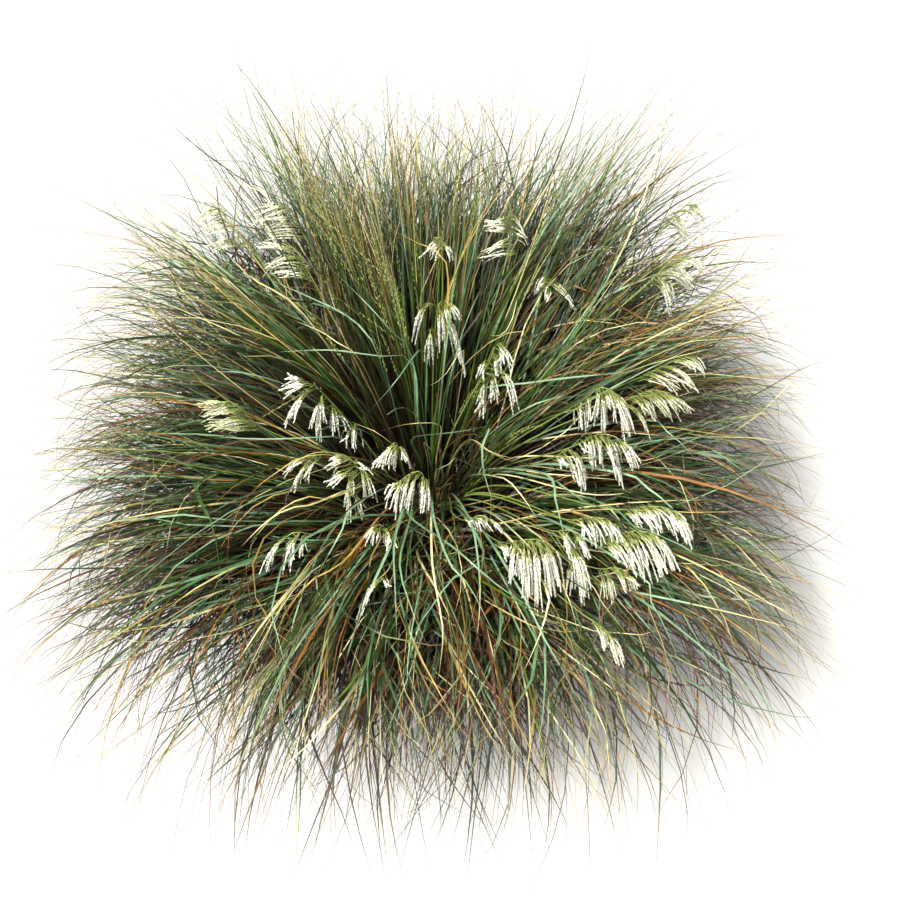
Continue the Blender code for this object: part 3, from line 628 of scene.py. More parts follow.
def leaf_mesh(name, points, azimuth, width, roll, twist, values, taper=0.55, columns=4):
    """Closed leaves with a flat upper side between two edges, and a keel below."""
    count, rings = points.shape[:2]
    side, face = frames_along(points, azimuth, roll, twist)
    share = np.linspace(0, 1, rings)
    # Pointed at the tip, and a little narrower at the foot
    narrow = 1 - np.clip((share - taper) / (1.0 - taper), 0, 1) ** 1.5
    narrow = np.maximum(narrow * (0.72 + 0.28 * np.clip(share / 0.15, 0, 1)), LEAST_WIDTH)
    half = 0.5 * width[:, None] * narrow[None]
    edge = side * half[..., None]
    keel = face * (KEEL * half)[..., None]
    corners = np.stack([points - edge, points - keel, points + edge], axis=2)
    values = {key: by_ring(number)[..., None] for key, number in values.items()}
    values["along"] = share[None, :, None]
    values["across"] = np.array([-1.0, 0.0, 1.0])
    values = {key: np.broadcast_to(number, corners.shape[:3]) for key, number in values.items()}
    mesh = face_mesh(name, corners.reshape(-1, 3), tubes(count, rings, 3, columns), values)
    sharpen_edges(mesh)
    return mesh


def by_ring(numbers):
    """Values for each leaf, or for each leaf and ring, with an axis for the rings."""
    return numbers if numbers.ndim == 2 else numbers[:, None]


def sharpen_edges(mesh):
    """Keeps the shading of a leaf's upper side apart from its lower side, along its two edges.

    The corners of a ring are an edge, the keel and the other edge, so an edge's points are three apart.
    """
    ends = np.zeros(len(mesh.edges) * 2, dtype=np.int32)
    mesh.edges.foreach_get("vertices", ends)
    ends = ends.reshape(-1, 2)
    along = (np.abs(ends[:, 0] - ends[:, 1]) == 3) & (ends[:, 0] % 3 != 1)
    sharp = mesh.attributes.new("sharp_edge", "BOOLEAN", "EDGE")
    sharp.data.foreach_set("value", along)


def dryness(rng, count, rings, dead):
    """How dry each leaf is at each ring: most are dry towards the tip, and dead ones all over."""
    share = np.linspace(0, 1, rings)[None]
    begins = np.clip(rng.normal(*DRY_FROM, count), *DRY_LIMITS)[:, None]
    tips = np.clip((share - begins) / DRY_FADE, 0, 1)
    return np.where(dead[:, None], 1.0, tips)


def grow_tuft(rng, azimuth, sector, angles, count, shares, hidden):
    """The courses and looks of one tuft's real leaves, around an azimuth of the crown."""
    behind = math.sin(math.radians(azimuth))
    crowd = np.interp(azimuth % 360, CORNER_AZIMUTHS, CORNER_CROWDS)
    if angles[1] < SKIRT_ANGLE:
        crowd *= SIDE_CROWD + BACK_CROWD * behind
    count = int(count * crowd)
    shoots = count // SHOOT_LEAVES
    shoot = rng.integers(0, shoots, count)
    shoot_azimuth = azimuth + rng.uniform(-SHOOT_SPAN, SHOOT_SPAN, shoots) * sector
    shoot_angle = rng.uniform(*angles, shoots)
    shoot_way = shoot_azimuth + rng.normal(0, SHOOT_WAY, shoots)
    start = shoot_azimuth[shoot] + rng.normal(0, LEAF_START, count)
    angle = shoot_angle[shoot] + rng.normal(0, LEAF_ANGLE, count)
    kind = rng.choice(len(shares), count, p=shares)
    kind[(kind == DEAD) & (rng.random(count) < DEAD_OUT * behind)] = GREEN
    wander = np.take(KIND_WANDER, kind)
    way = shoot_way[shoot] + rng.normal(0, LEAF_WAY, count) * wander
    stray = (rng.random(count) < STRAYS) & (kind != CULM)
    way = way + stray * rng.normal(0, STRAY_WAY, count)
    curl = stray * rng.choice((-1, 1), count) * rng.uniform(*STRAY_CURLS, count)
    turn = np.mod(way, 360)
    back = np.sin(np.radians(turn))
    lean_end = np.interp(angle, DOME_ANGLES, TIP_LEANS) + rng.normal(0, TIP_LEAN, count) + np.take(KIND_LEANS, kind)
    lean_end = lean_end + np.interp(turn, CORNER_AZIMUTHS, CORNER_LEANS)
    length = np.interp(angle, DOME_ANGLES, LEAF_LENGTHS) * (LENGTH_MOST - LENGTH_LESS * rng.random(count) ** 1.6)
    length = length * np.interp(turn, CORNER_AZIMUTHS, CORNER_LENGTHS)
    power = rng.uniform(*LEAF_POWERS, count)
    sweep = rng.normal(0, SWEEP, count) * wander
    points = leaf_courses(rng, start, way, angle, np.clip(lean_end, *TIP_LIMITS), length, power, sweep, curl)
    points = clear_of_pot(kept_inside(points))
    width = rng.uniform(*LEAF_WIDTHS, count) + WIDE_LEAF * rng.random(count) ** 5
    width = width * np.take(KIND_WIDTHS, kind) * (1.0 - BACK_NARROWER * back)
    values = {
        "tone": rng.random(count) ** (1 + BACK_DARKER * back),
        "shade": np.where(kind == DEAD, DEAD_SHADE * rng.random(count), 0.36 + 0.64 * rng.random(count)),
        "dryness": dryness(rng, count, LEAF_POINTS, (kind == STRAW) | (kind == DEAD)),
        "fresh": (kind == CULM) * rng.uniform(*CULM_FRESH, count),
    }
    looks = {"azimuth": way, "width": width, "roll": rng.normal(0, ROLL, count), "twist": rng.normal(0, TWIST, count)}
    kept = ~hides_heads(rng, points, hidden)
    looks = {key: numbers[kept] for key, numbers in looks.items()}
    return points[kept], looks, {key: numbers[kept] for key, numbers in values.items()}


def open_sky(tufts):
    """How much light comes down to each point of the leaves, past all the leaves that lie over it."""
    last = np.array(SKY_CELLS) - 1
    cells = [np.clip(((points - SKY_LOW) / SKY_CELL).astype(int), 0, last) for points, _, _ in tufts]
    area = np.zeros(SKY_CELLS)
    for cell, (points, looks, _) in zip(cells, tufts):
        long = np.linalg.norm(np.diff(points, axis=1), axis=-1)
        spot = cell[:, 1:].reshape(-1, 3).T
        np.add.at(area, tuple(spot), (long * looks["width"][:, None]).ravel() / SKY_CELL**2)
    light = np.zeros(SKY_CELLS)
    for across, along, weight in SKY_WAYS:
        shifts = [(round(across * layer), round(along * layer)) for layer in range(SKY_CELLS[2])]
        slanted = np.stack([np.roll(area[..., n], shift, (0, 1)) for n, shift in enumerate(shifts)], axis=-1)
        over = np.cumsum(slanted[..., ::-1], axis=-1)[..., ::-1] - slanted
        back = [np.roll(over[..., n], (-right, -on), (0, 1)) for n, (right, on) in enumerate(shifts)]
        light += weight * np.exp(-SKY_DENSITY * np.stack(back, axis=-1))
    return [light[tuple(cell.reshape(-1, 3).T)].reshape(cell.shape[:2]) for cell in cells]


def grow_singles():
    """The courses and looks of the leaves of SINGLES, which start on the crown and pass their places."""
    points = []
    for _, _, _, _, places in SINGLES:
        way = np.array([at_height(place[:2], place[2] / 1000) for place in places])
        azimuth = np.degrees(math.atan2(way[0, 1], way[0, 0]))
        reach = math.hypot(way[0, 0], way[0, 1])
        angle = np.interp(reach, SINGLE_REACHES, SINGLE_ANGLES)
        foot = on_dome(azimuth, angle)
        # A leaf rises a little steeper than the crown's surface faces, over half of the way to its first place
        rise = foot + leaning(azimuth, 0.75 * angle) * 0.55 * np.linalg.norm(way[0] - foot)
        knots = np.concatenate([[foot, rise], way])
        slopes = np.gradient(knots, axis=0)
        t = np.linspace(0, 1, 12)[:, None]
        pulls = [(a, a + u / 3, b - v / 3, b) for a, b, u, v in zip(knots, knots[1:], slopes, slopes[1:])]
        points.append(evenly(np.concatenate([curved(pull, t) for pull in pulls]), SINGLE_POINTS))
    points = np.array(points)
    width, tone, shade, green = np.array([row[:4] for row in SINGLES]).T
    azimuth = np.degrees(np.arctan2(points[:, SINGLE_MIDDLE, 1], points[:, SINGLE_MIDDLE, 0]))
    looks = {
        "azimuth": azimuth,
        "width": width / 1000,
        "roll": SINGLE_ROLL * np.sin(width * 900),
        "twist": SINGLE_TWIST * np.cos(tone * 900),
    }
    past_green = np.linspace(0, 1, SINGLE_POINTS) - green[:, None]
    dry = np.clip(past_green / SINGLE_DRY_FADE, 0, 1) ** 0.8 * (green[:, None] < 1)
    dry[green == 0] = 1
    return points, looks, {"tone": tone, "shade": shade, "dryness": dry, "fresh": np.zeros(len(width))}


# What the viewer sees of the heads


def sight():
    """The camera's place, and the directions back from what it looks at and up in its picture."""
    tilt = math.radians(VIEW_ELEVATION)
    back = np.array([0.0, -math.cos(tilt), math.sin(tilt)])
    up = np.array([0.0, math.sin(tilt), math.cos(tilt)])
    return np.array(LOOK_AT) + back * VIEW_DISTANCE, back, up


def in_picture(points):
    """Where points fall in the picture, in pixels, and how far from the camera they are."""
    camera, back, up = sight()
    away = points - camera
    depth = -(away @ back)
    across = PICTURE / 2 + FOCAL * away[..., 0] / depth
    down = PICTURE / 2 - FOCAL * (away @ up) / depth
    return across, down, depth


def head_depths(clouds):
    """For every pixel, how far away the heads there are, with a margin round each, or zero for none."""
    depths = np.zeros((PICTURE, PICTURE))
    for cloud in clouds:
        across, down, depth = (part.ravel() for part in in_picture(cloud))
        for right in range(-HEAD_MARGIN, HEAD_MARGIN + 1):
            for below in range(-HEAD_MARGIN, HEAD_MARGIN + 1):
                column = np.clip(across + right, 0, PICTURE - 1).astype(int)
                row = np.clip(down + below, 0, PICTURE - 1).astype(int)
                np.maximum.at(depths, (row, column), depth)
    return depths


def finely(points):
    """The same courses with four times as many points."""
    share = np.linspace(0, points.shape[1] - 1, 4 * points.shape[1])
    low = np.minimum(share.astype(int), points.shape[1] - 2)
    part = (share - low)[None, :, None]
    return points[:, low] * (1 - part) + points[:, low + 1] * part


def hides_heads(rng, points, depths):
    """Which leaves would stand before a head, apart from a few that may."""
    across, down, depth = in_picture(finely(points))
    column = np.clip(across, 0, PICTURE - 1).astype(int)
    row = np.clip(down, 0, PICTURE - 1).astype(int)
    before = (depths[row, column] > depth + BEFORE).sum(axis=1)
    return (before > 0) & (rng.random(len(points)) > MAY_HIDE)


# Flower stems


def sight_lines(places):
    """The camera's place, and the directions of the sight lines through these places in the picture."""
    camera, back, up = sight()
    places = np.asarray(places, dtype=float)
    right = np.array([1.0, 0.0, 0.0]) * (places[..., :1] - PICTURE / 2) / FOCAL
    return camera, right - up * (places[..., 1:] - PICTURE / 2) / FOCAL - back


def on_plane(places, top, fall):
    """Where the sight lines through these places in the picture cross the upright plane of a head."""
    camera, lines = sight_lines(places)
    normal = heading(fall + 90)
    far = ((top - camera) @ normal) / (lines @ normal)
    return camera + lines * far[..., None]


def at_height(place, height):
    """Where the sight line through this place in the picture is at a height."""
    camera, line = sight_lines(place)
    return camera + line * (height - camera[2]) / line[2]


def curved(ends, t):
    """Points along cubic curves with these four guides each."""
    first, second, third, last = (end[..., None, :] for end in ends)
    return (1 - t) ** 3 * first + 3 * t * (1 - t) ** 2 * second + 3 * t * t * (1 - t) * third + t**3 * last


def stem_course(foot, top, fall, before, end):
    """Points up a stem, over the top of its arch and down its nod, evenly along it."""
    reach = math.hypot(top[0], top[1])
    azimuth = math.degrees(math.atan2(top[1], top[0]))
    lean = math.degrees(math.atan2(reach, top[2] - SOIL_TOP))
    angle = STEM_WIDE_ANGLE if lean > STEM_WIDE_LEAN else STEM_STEEP_ANGLE
    if reach < STEM_CENTRE_REACH:
        angle = STEM_CENTRE_ANGLE
    start = on_dome(foot, angle)
    span = np.linalg.norm(top - start)
    slope = math.degrees(math.atan2(reach, top[2] - start[2]))
    lower = start + leaning(azimuth, min(0.8 * angle, 0.7 * slope)) * span * 0.45
    upper, end = on_plane([before, end], top, fall)
    rise = curved((start, lower, upper, top), np.linspace(0, 1, 60)[:, None])
    over = top + 0.5 * (end - top) + 0.35 * (top - upper) * np.linalg.norm(end - top) / np.linalg.norm(top - upper)
    nod = curved((top, top + 0.6 * (over - top), over, end), np.linspace(0, 1, 20)[1:, None])
    return evenly(np.concatenate([rise, nod]), STEM_POINTS)


def tube_corners(points, radii, sides):
    """The corners of tubes around these courses."""
    tangent = unit(np.gradient(points, axis=1))
    helper = np.where(np.abs(tangent[..., 2:3]) > 0.9, [1.0, 0.0, 0.0], [0.0, 0.0, 1.0])
    side = unit(np.cross(tangent, helper))
    face = np.cross(side, tangent)
    turns = ring_turns(sides)
    ways = side[..., None, :] * np.cos(turns)[:, None] + face[..., None, :] * np.sin(turns)[:, None]
    return points[..., None, :] + ways * radii[..., None, None]


def string_courses(rng, course, top, fall, fans):
    """A head's strings: each leaves the rachis beside its fan's start, arches over and hangs to its fan's end."""
    rows = []
    for x0, y0, x1, y1, x2, y2, x3, y3, amount in fans:
        share = (np.arange(amount) + 0.5) / amount
        start = np.outer(1 - share, (x0, y0)) + np.outer(share, (x1, y1))
        start = start + rng.normal(0, STRING_START_STRAYS, (amount, 2))
        drawn = 0.35 * share + 0.65 * rng.permutation(share)
        end = np.outer(1 - drawn, (x2, y2)) + np.outer(drawn, (x3, y3))
        end = end + rng.normal(0, STRING_END_STRAYS, (amount, 2))
        end = start + (end - start) * rng.uniform(*STRING_KEPT, amount)[:, None]
        rows.append(np.stack([start, end], axis=1))
    places = np.concatenate(rows)
    amount = len(places)
    start, end = on_plane(places[:, 0], top, fall), on_plane(places[:, 1], top, fall)
    head = course[len(course) // 2 :]
    root = head[np.linalg.norm(head[None] - start[:, None], axis=-1).argmin(axis=1)]
    camera = sight()[0]
    depth = rng.normal(0, STRING_DEPTH, amount)[:, None]
    start = start + unit(start - camera) * depth * STRING_START_DEPTH
    end = end + unit(end - camera) * depth
    fallen = end - start
    rise = np.array([0.0, 0.0, STRING_UP]) * np.linalg.norm(fallen[:, :2], axis=1)[:, None]
    outward = fallen * np.array(STRING_OUT) + rise
    bent = start + outward + rng.normal(0, STRING_JITTER, (amount, 3))
    hang = curved((start, start + 0.5 * (bent - start), bent, end), np.linspace(0, 1, STRING_POINTS - 1)[:, None])
    return np.concatenate([root[:, None], hang], axis=1)


def spikelet_places(rng, strings):
    """Where spikelets sit around every string, how they point, how far along it they are, and which string it is."""
    places, ways, spots, owners = [], [], [], []
    for number, string in enumerate(strings):
        lengths = lengths_along(string)
        long, begins = lengths[-1], lengths[1]
        at = np.arange(begins + rng.uniform(*SPIKELETS_BEGIN) * (long - begins), long, SPIKELET_STEP)
        ahead, behind = (at_lengths(string, lengths, at + by) for by in (STRING_AHEAD, -STRING_AHEAD))
        along = unit(ahead - behind)
        out = spiral(along, rng.uniform(0, 2 * np.pi) + np.arange(len(at)) * SPIRAL)
        places.append(at_lengths(string, lengths, at))
        ways.append(unit(along + out * rng.uniform(*SPIKELET_SPREADS, len(at))[:, None]))
        spots.append((at - begins) / max(long - begins, 1e-6))
        owners.append(np.full(len(at), number))
    return np.concatenate(places), np.concatenate(ways), np.concatenate(spots), np.concatenate(owners)


def spikelet_corners(spots, ways, long, wide):
    """Each spikelet's five corners: its foot, three around its waist, and its tip."""
    stretch = ways * long[:, None]
    side = unit(np.cross(ways, [0.3, 0.5, 0.8]))
    face = np.cross(side, ways)
    turns = ring_turns(3)[:, None]
    around = side[:, None] * np.cos(turns) + face[:, None] * np.sin(turns)
    waist = (spots + SPIKELET_WAIST * stretch)[:, None] + around * (0.5 * wide)[:, None, None]
    return np.concatenate([spots[:, None], waist, (spots + stretch)[:, None]], axis=1)


def make_young_heads(rng, grown, finish):
    """The narrow green heads at the ends of some culms, which haven't opened."""
    culms = np.concatenate([points[values["fresh"] > 0] for points, _, values in grown])
    culms = culms[(culms[:, -1, 2] > YOUNG_LEAST) & (rng.random(len(culms)) < YOUNG_SHARE)]
    jittered = np.arange(YOUNG_SPIKELETS) + rng.random((len(culms), YOUNG_SPIKELETS))
    share = YOUNG_BEGINS + (YOUNG_ENDS - YOUNG_BEGINS) * jittered / YOUNG_SPIKELETS
    at = share * (LEAF_POINTS - 1)
    before = np.minimum(at.astype(int), LEAF_POINTS - 2)
    rows = np.arange(len(culms))[:, None]
    step = culms[rows, before + 1] - culms[rows, before]
    spots = (culms[rows, before] + (at - before)[..., None] * step).reshape(-1, 3)
    along = unit(step.reshape(-1, 3))
    out = spiral(along, np.arange(len(spots)) * SPIRAL)
    ways = unit(along + out * rng.uniform(*YOUNG_SPREADS, len(spots))[:, None])
    late = (at.ravel() / (LEAF_POINTS - 1) - YOUNG_BEGINS) / (1 - YOUNG_BEGINS)
    fit = rng.uniform(*YOUNG_SIZES, len(spots)) * (1.15 - 0.45 * late)
    corners = spikelet_corners(spots, ways, YOUNG_LENGTH * fit, YOUNG_WIDTH * fit).reshape(-1, 3)
    bleach = np.repeat(rng.uniform(*YOUNG_BLEACH, len(culms)), YOUNG_SPIKELETS * 5)
    values = {"bleach": bleach, "tone": np.repeat(rng.random(len(spots)), 5)}
    mesh = face_mesh("young_heads", corners, grains(len(spots), round(math.sqrt(len(spots)))), values)
    place("young_heads", mesh, finish, "flower")


def make_head(rng, name, head, finish):
    """A stem with its nodding head: rachis, strings and spikelets in one mesh."""
    foot, place_of_top, height, fall, before, end, pale, fans = head
    top = at_height(place_of_top, height)
    course = stem_course(foot, top, fall, before, end)
    rachis = tube_corners(course[None], np.linspace(*STEM_RADII, STEM_POINTS)[None], 4)
    strings = string_courses(rng, course, top, fall, fans)
    threads = tube_corners(strings, np.full(strings.shape[:2], STRING_RADIUS), 3)
    spots, ways, along, owner = spikelet_places(rng, strings)
    # Spikelets are smaller in a less bleached head, and towards a string's end
    fit = (0.66 + 0.54 * pale) * (1.05 - 0.35 * along) * rng.uniform(*SPIKELET_SIZES, len(along))
    corners = spikelet_corners(spots, ways, SPIKELET_LENGTH * fit, SPIKELET_WIDTH * fit)
    up_stem = np.clip((np.linspace(0, 1, STEM_POINTS) - 0.85) * 2, 0, 0.25)
    down_thread = np.broadcast_to(np.linspace(0.0, 0.7, STRING_POINTS) ** 1.3, strings.shape[:2])
    # Spikelets are greener near a string's start, the more so in a less bleached head, and at their own feet
    silver = (0.45 + 0.55 * pale) * rng.uniform(0.84, 1.0, len(strings))[owner]
    white = silver * np.clip(0.25 + 1.9 * along, 0, 1) ** pale**-2
    white = white[:, None] * np.array([0.80, 0.92, 0.92, 0.92, 1.0])
    bleach = (pale * np.repeat(up_stem, 4), pale * np.repeat(down_thread.ravel(), 3), white.ravel())
    tones = (
        np.full(4 * STEM_POINTS, 0.5),
        np.repeat(rng.random(len(strings)), 3 * STRING_POINTS),
        np.repeat(np.clip(rng.normal(*SPIKELET_TONES, len(owner)), 0, 1), 5),
    )
    parts = [part.reshape(-1, 3) for part in (rachis, threads, corners)]
    groups = tubes(1, STEM_POINTS, 4, 1)
    groups += tubes(len(strings), STRING_POINTS, 3, 8, len(parts[0]))
    groups += grains(len(owner), round(math.sqrt(len(owner))), len(parts[0]) + len(parts[1]))
    shelves = (0, 0, 1, 1, 2)
    groups = [(faces, uvs * [1.0, 1.0 / 3] + [0.0, shelf / 3]) for (faces, uvs), shelf in zip(groups, shelves)]
    values = {"bleach": np.concatenate(bleach), "tone": np.concatenate(tones)}
    place(name, face_mesh(name, np.concatenate(parts), groups, values), finish, "flower", name.replace("_head", ""))
    return strings


# Materials


class Nodes:
    """A material's node tree with short ways to add and link nodes."""

    def __init__(self, name, roughness):
        self.material = bpy.data.materials.new(name)
        self.material.use_nodes = True
        self.tree = self.material.node_tree
        self.shader = self.tree.nodes["Principled BSDF"]
        self.shader.inputs["Roughness"].default_value = roughness

    def add(self, kind, **settings):
        node = self.tree.nodes.new(kind)
        for key, value in settings.items():
            setattr(node, key, value)
        return node

    def link(self, source, target):
        self.tree.links.new(source, target)

    def attribute(self, name):
        return self.add("ShaderNodeAttribute", attribute_name=name).outputs["Fac"]

    def ramp(self, factor, *stops):
        """A colour ramp, from places with colours, or with a number for a grey."""
        node = self.add("ShaderNodeValToRGB")
        elements = node.color_ramp.elements
        while len(elements) < len(stops):
            elements.new(0.5)
        for element, (position, colour) in zip(elements, stops):
            element.position = position
            element.color = (*(colour if isinstance(colour, tuple) else (colour,) * 3), 1.0)
        self.link(factor, node.inputs["Fac"])
        return node.outputs["Color"]

    def mix(self, factor, a, b, blend="MIX"):
        node = self.add("ShaderNodeMix", data_type="RGBA", blend_type=blend)
        for value, key in ((factor, "Factor"), (a, "A"), (b, "B")):
            sockets = [s for s in node.inputs if s.name == key and s.enabled]
            if isinstance(value, bpy.types.NodeSocket):
                self.link(value, sockets[0])
            else:
                sockets[0].default_value = value if isinstance(value, (int, float)) else (*value, 1.0)
        return next(s for s in node.outputs if s.enabled)

    def tinted(self, colour, by):
        return self.mix(1.0, colour, by, "MULTIPLY")

    def maths(self, operation, a, b=0.0):
        node = self.add("ShaderNodeMath", operation=operation)
        for value, socket in ((a, node.inputs[0]), (b, node.inputs[1])):
            if isinstance(value, bpy.types.NodeSocket):
                self.link(value, socket)
            else:
                socket.default_value = value
        return node.outputs[0]

    def noise(self, scale, detail, stretch=(1, 1, 1)):
        coords = self.add("ShaderNodeTexCoord")
        mapping = self.add("ShaderNodeMapping")
        mapping.inputs["Scale"].default_value = stretch
        self.link(coords.outputs["Object"], mapping.inputs["Vector"])
        node = self.add("ShaderNodeTexNoise")
        node.inputs["Scale"].default_value = scale
        node.inputs["Detail"].default_value = detail
        self.link(mapping.outputs["Vector"], node.inputs["Vector"])
        return node.outputs["Fac"]

    def bump(self, height, distance, strength):
        node = self.add("ShaderNodeBump")
        node.inputs["Distance"].default_value = distance
        node.inputs["Strength"].default_value = strength
        self.link(height, node.inputs["Height"])
        self.link(node.outputs["Normal"], self.shader.inputs["Normal"])

    def colour(self, socket):
        self.link(socket, self.shader.inputs["Base Color"])
        return self.material


def leaf_material():
    """Blue-green leaves and yellow-green culms, straw, orange or rust-brown when dry, and painted shade that turns them
    dark, near-black brown, where other leaves lie over them.
    """
    nodes = Nodes("grass leaf", 0.36)
    nodes.shader.inputs["Specular IOR Level"].default_value = 0.52
    greens = nodes.ramp(
        nodes.attribute("tone"),
        (0.0, (0.010, 0.022, 0.003)),
        (0.35, (0.018, 0.048, 0.006)),
        (0.62, (0.036, 0.088, 0.020)),
        (0.82, (0.100, 0.200, 0.094)),
        (1.0, (0.290, 0.450, 0.275)),
    )
    greens = nodes.mix(nodes.attribute("fresh"), greens, (0.095, 0.170, 0.012))
    # Greens turn a dark yellow-green towards the leaves' feet: partly the bases' own colour, partly painted shade low
    # in the tuft
    foot = nodes.ramp(nodes.attribute("along"), (0.05, 1.0), (0.25, 0.6), (0.55, 0.0))
    greens = nodes.mix(foot, greens, (0.040, 0.070, 0.006))
    dried = nodes.ramp(
        nodes.attribute("shade"),
        (0.0, (0.022, 0.008, 0.004)),
        (0.30, (0.080, 0.026, 0.009)),
        (0.50, (0.295, 0.128, 0.022)),
        (0.72, (0.480, 0.345, 0.092)),
        (1.0, (0.800, 0.730, 0.405)),
    )
    body = nodes.mix(nodes.attribute("dryness"), greens, dried)
    spread = nodes.ramp(nodes.noise(70, 3), (0.30, (0.66, 0.67, 0.65)), (0.70, (1.08, 1.10, 1.06)))
    body = nodes.tinted(body, spread)
    ribs = nodes.maths("SINE", nodes.maths("MULTIPLY", nodes.attribute("across"), 15.0))
    nodes.bump(ribs, 0.00012, 0.5)
    # Painted shade: the colour is darkened where less light comes down past the leaves above, and mixed to near-black
    # brown where almost none does
    light = nodes.attribute("light")
    body = nodes.tinted(body, nodes.ramp(light, (0.02, 0.38), (0.35, 0.72), (0.75, 1.04)))
    painted_shade = nodes.ramp(light, (0.03, 1.0), (0.15, 0.72), (0.42, 0.0))
    return nodes.colour(nodes.mix(painted_shade, body, (0.020, 0.011, 0.006)))


def head_material():
    """Green-yellow rachis and threads, silver-white to cream spikelets."""
    nodes = Nodes("grass flower head", 0.50)
    colour = nodes.ramp(
        nodes.attribute("bleach"),
        (0.0, (0.150, 0.215, 0.040)),
        (0.25, (0.300, 0.340, 0.090)),
        (0.50, (0.560, 0.580, 0.320)),
        (0.75, (0.930, 0.930, 0.790)),
        (1.0, (0.980, 0.975, 0.930)),
    )
    colour = nodes.tinted(colour, nodes.ramp(nodes.attribute("tone"), (0.0, (0.88, 0.90, 0.80)), (0.7, 1.0)))
    speck = nodes.maths("MULTIPLY", nodes.noise(420, 1), 0.09)
    return nodes.colour(nodes.mix(speck, colour, (0.50, 0.42, 0.20)))


def clay_material():
    """Fired clay with turning lines, darker and paler patches, white salts and damp mossy stains."""
    nodes = Nodes("fired clay", 0.82)
    colour = nodes.ramp(
        nodes.noise(7, 4), (0.30, (0.150, 0.062, 0.034)), (0.52, (0.245, 0.108, 0.060)), (0.75, (0.340, 0.175, 0.108))
    )
    colour = nodes.tinted(colour, nodes.ramp(nodes.noise(340, 2), (0.35, 0.80), (0.65, 1.10)))
    salts = nodes.ramp(nodes.noise(11, 5, (1, 1, 2.5)), (0.60, 0.0), (0.78, 0.42))
    colour = nodes.mix(salts, colour, (0.50, 0.42, 0.35))
    damp = nodes.ramp(nodes.noise(5, 4, (1, 1, 1.6)), (0.50, 0.0), (0.72, 0.60))
    colour = nodes.mix(damp, colour, (0.095, 0.070, 0.034))
    lines = nodes.maths("MULTIPLY", nodes.noise(28, 2, (0.05, 0.05, 9)), 1.4)
    fine = nodes.maths("MULTIPLY", nodes.noise(260, 3), 0.35)
    nodes.bump(nodes.maths("ADD", lines, fine), 0.0008, 0.6)
    return nodes.colour(colour)


def soil_material():
    """Dark crumbly soil."""
    nodes = Nodes("potting soil", 0.95)
    colour = nodes.ramp(
        nodes.noise(160, 5), (0.30, (0.010, 0.007, 0.006)), (0.55, (0.036, 0.024, 0.019)), (0.78, (0.105, 0.075, 0.060))
    )
    nodes.bump(nodes.noise(240, 5), 0.003, 0.9)
    return nodes.colour(colour)


def thatch_material():
    """Dry brown shoot bases and dead leaf sheaths."""
    nodes = Nodes("packed shoots", 0.80)
    streaks = nodes.noise(60, 4, (1, 1, 0.12))
    colour = nodes.ramp(
        streaks, (0.25, (0.028, 0.016, 0.009)), (0.50, (0.120, 0.070, 0.030)), (0.80, (0.330, 0.230, 0.100))
    )
    nodes.bump(streaks, 0.004, 0.8)
    return nodes.colour(colour)


# The pot, the soil's crumbs and the crown's thatch


def make_pot(finish):
    """The frame's pot with more sides and rounded edges."""
    band_bottom = POT_HEIGHT - BAND_HEIGHT
    taper = (BODY_TOP_RADIUS - FOOT_RADIUS) / POT_HEIGHT
    section = [
        (0.0, FLOOR),
        (FOOT_RADIUS - WALL - 0.004, FLOOR),
        (FOOT_RADIUS - WALL - 0.001, FLOOR + 0.001),
        (FOOT_RADIUS - WALL, FLOOR + 0.004),
        (INNER_TOP - 0.003, POT_HEIGHT - 0.020),
        (INNER_TOP, POT_HEIGHT - 0.004),
        (INNER_TOP + 0.0012, POT_HEIGHT - 0.0012),
        (INNER_TOP + 0.004, POT_HEIGHT),
        (RIM_RADIUS - 0.004, POT_HEIGHT),
        (RIM_RADIUS - 0.0012, POT_HEIGHT - 0.0012),
        (RIM_RADIUS, POT_HEIGHT - 0.004),
        (RIM_RADIUS - 0.0004, POT_HEIGHT - 0.016),
        (RIM_RADIUS - 0.001, band_bottom + 0.003),
        (RIM_RADIUS - 0.0022, band_bottom + 0.0008),
        (RIM_RADIUS - 0.004, band_bottom),
        (FOOT_RADIUS + taper * band_bottom + 0.0012, band_bottom - 0.0006),
        (FOOT_RADIUS + taper * band_bottom, band_bottom - 0.004),
        *((FOOT_RADIUS + taper * part * band_bottom, part * band_bottom) for part in (0.75, 0.50, 0.25)),
        (FOOT_RADIUS + taper * 0.003, 0.003),
        (FOOT_RADIUS - 0.0012, 0.0008),
        (FOOT_RADIUS - 0.003, 0.0),
        (0.0, 0.0),
    ]
    mesh = bpy.data.meshes.new("flower_pot")
    mesh.from_pydata([(r, 0.0, z) for r, z in section], [(i, i + 1) for i in range(len(section) - 1)], [])
    pot = place("flower_pot", mesh, finish, "clay", "pot")
    turn = pot.modifiers.new("turn", "SCREW")
    turn.steps = turn.render_steps = POT_SIDES
    turn.use_merge_vertices = True
    turn.merge_threshold = 0.00001
    drill_mesh = bpy.data.meshes.new("drill")
    work = bmesh.new()
    bmesh.ops.create_cone(
        work, cap_ends=True, segments=DRAIN_SIDES, radius1=DRAIN_RADIUS, radius2=DRAIN_RADIUS, depth=4 * FLOOR
    )
    work.to_mesh(drill_mesh)
    work.free()
    for number in range(DRAIN_HOLES):
        angle = math.radians(45 + 360 * number / DRAIN_HOLES)
        drill = linked("drill", drill_mesh)
        drill.location = (DRAIN_CIRCLE * math.cos(angle), DRAIN_CIRCLE * math.sin(angle), FLOOR / 2)
        cut = pot.modifiers.new("drain", "BOOLEAN")
        cut.operation = "DIFFERENCE"
        cut.solver = "EXACT"
        cut.object = drill
    bake_modifiers(pot)
    pot.data.shade_smooth()
    pot.data.set_sharp_from_angle(angle=math.radians(35))


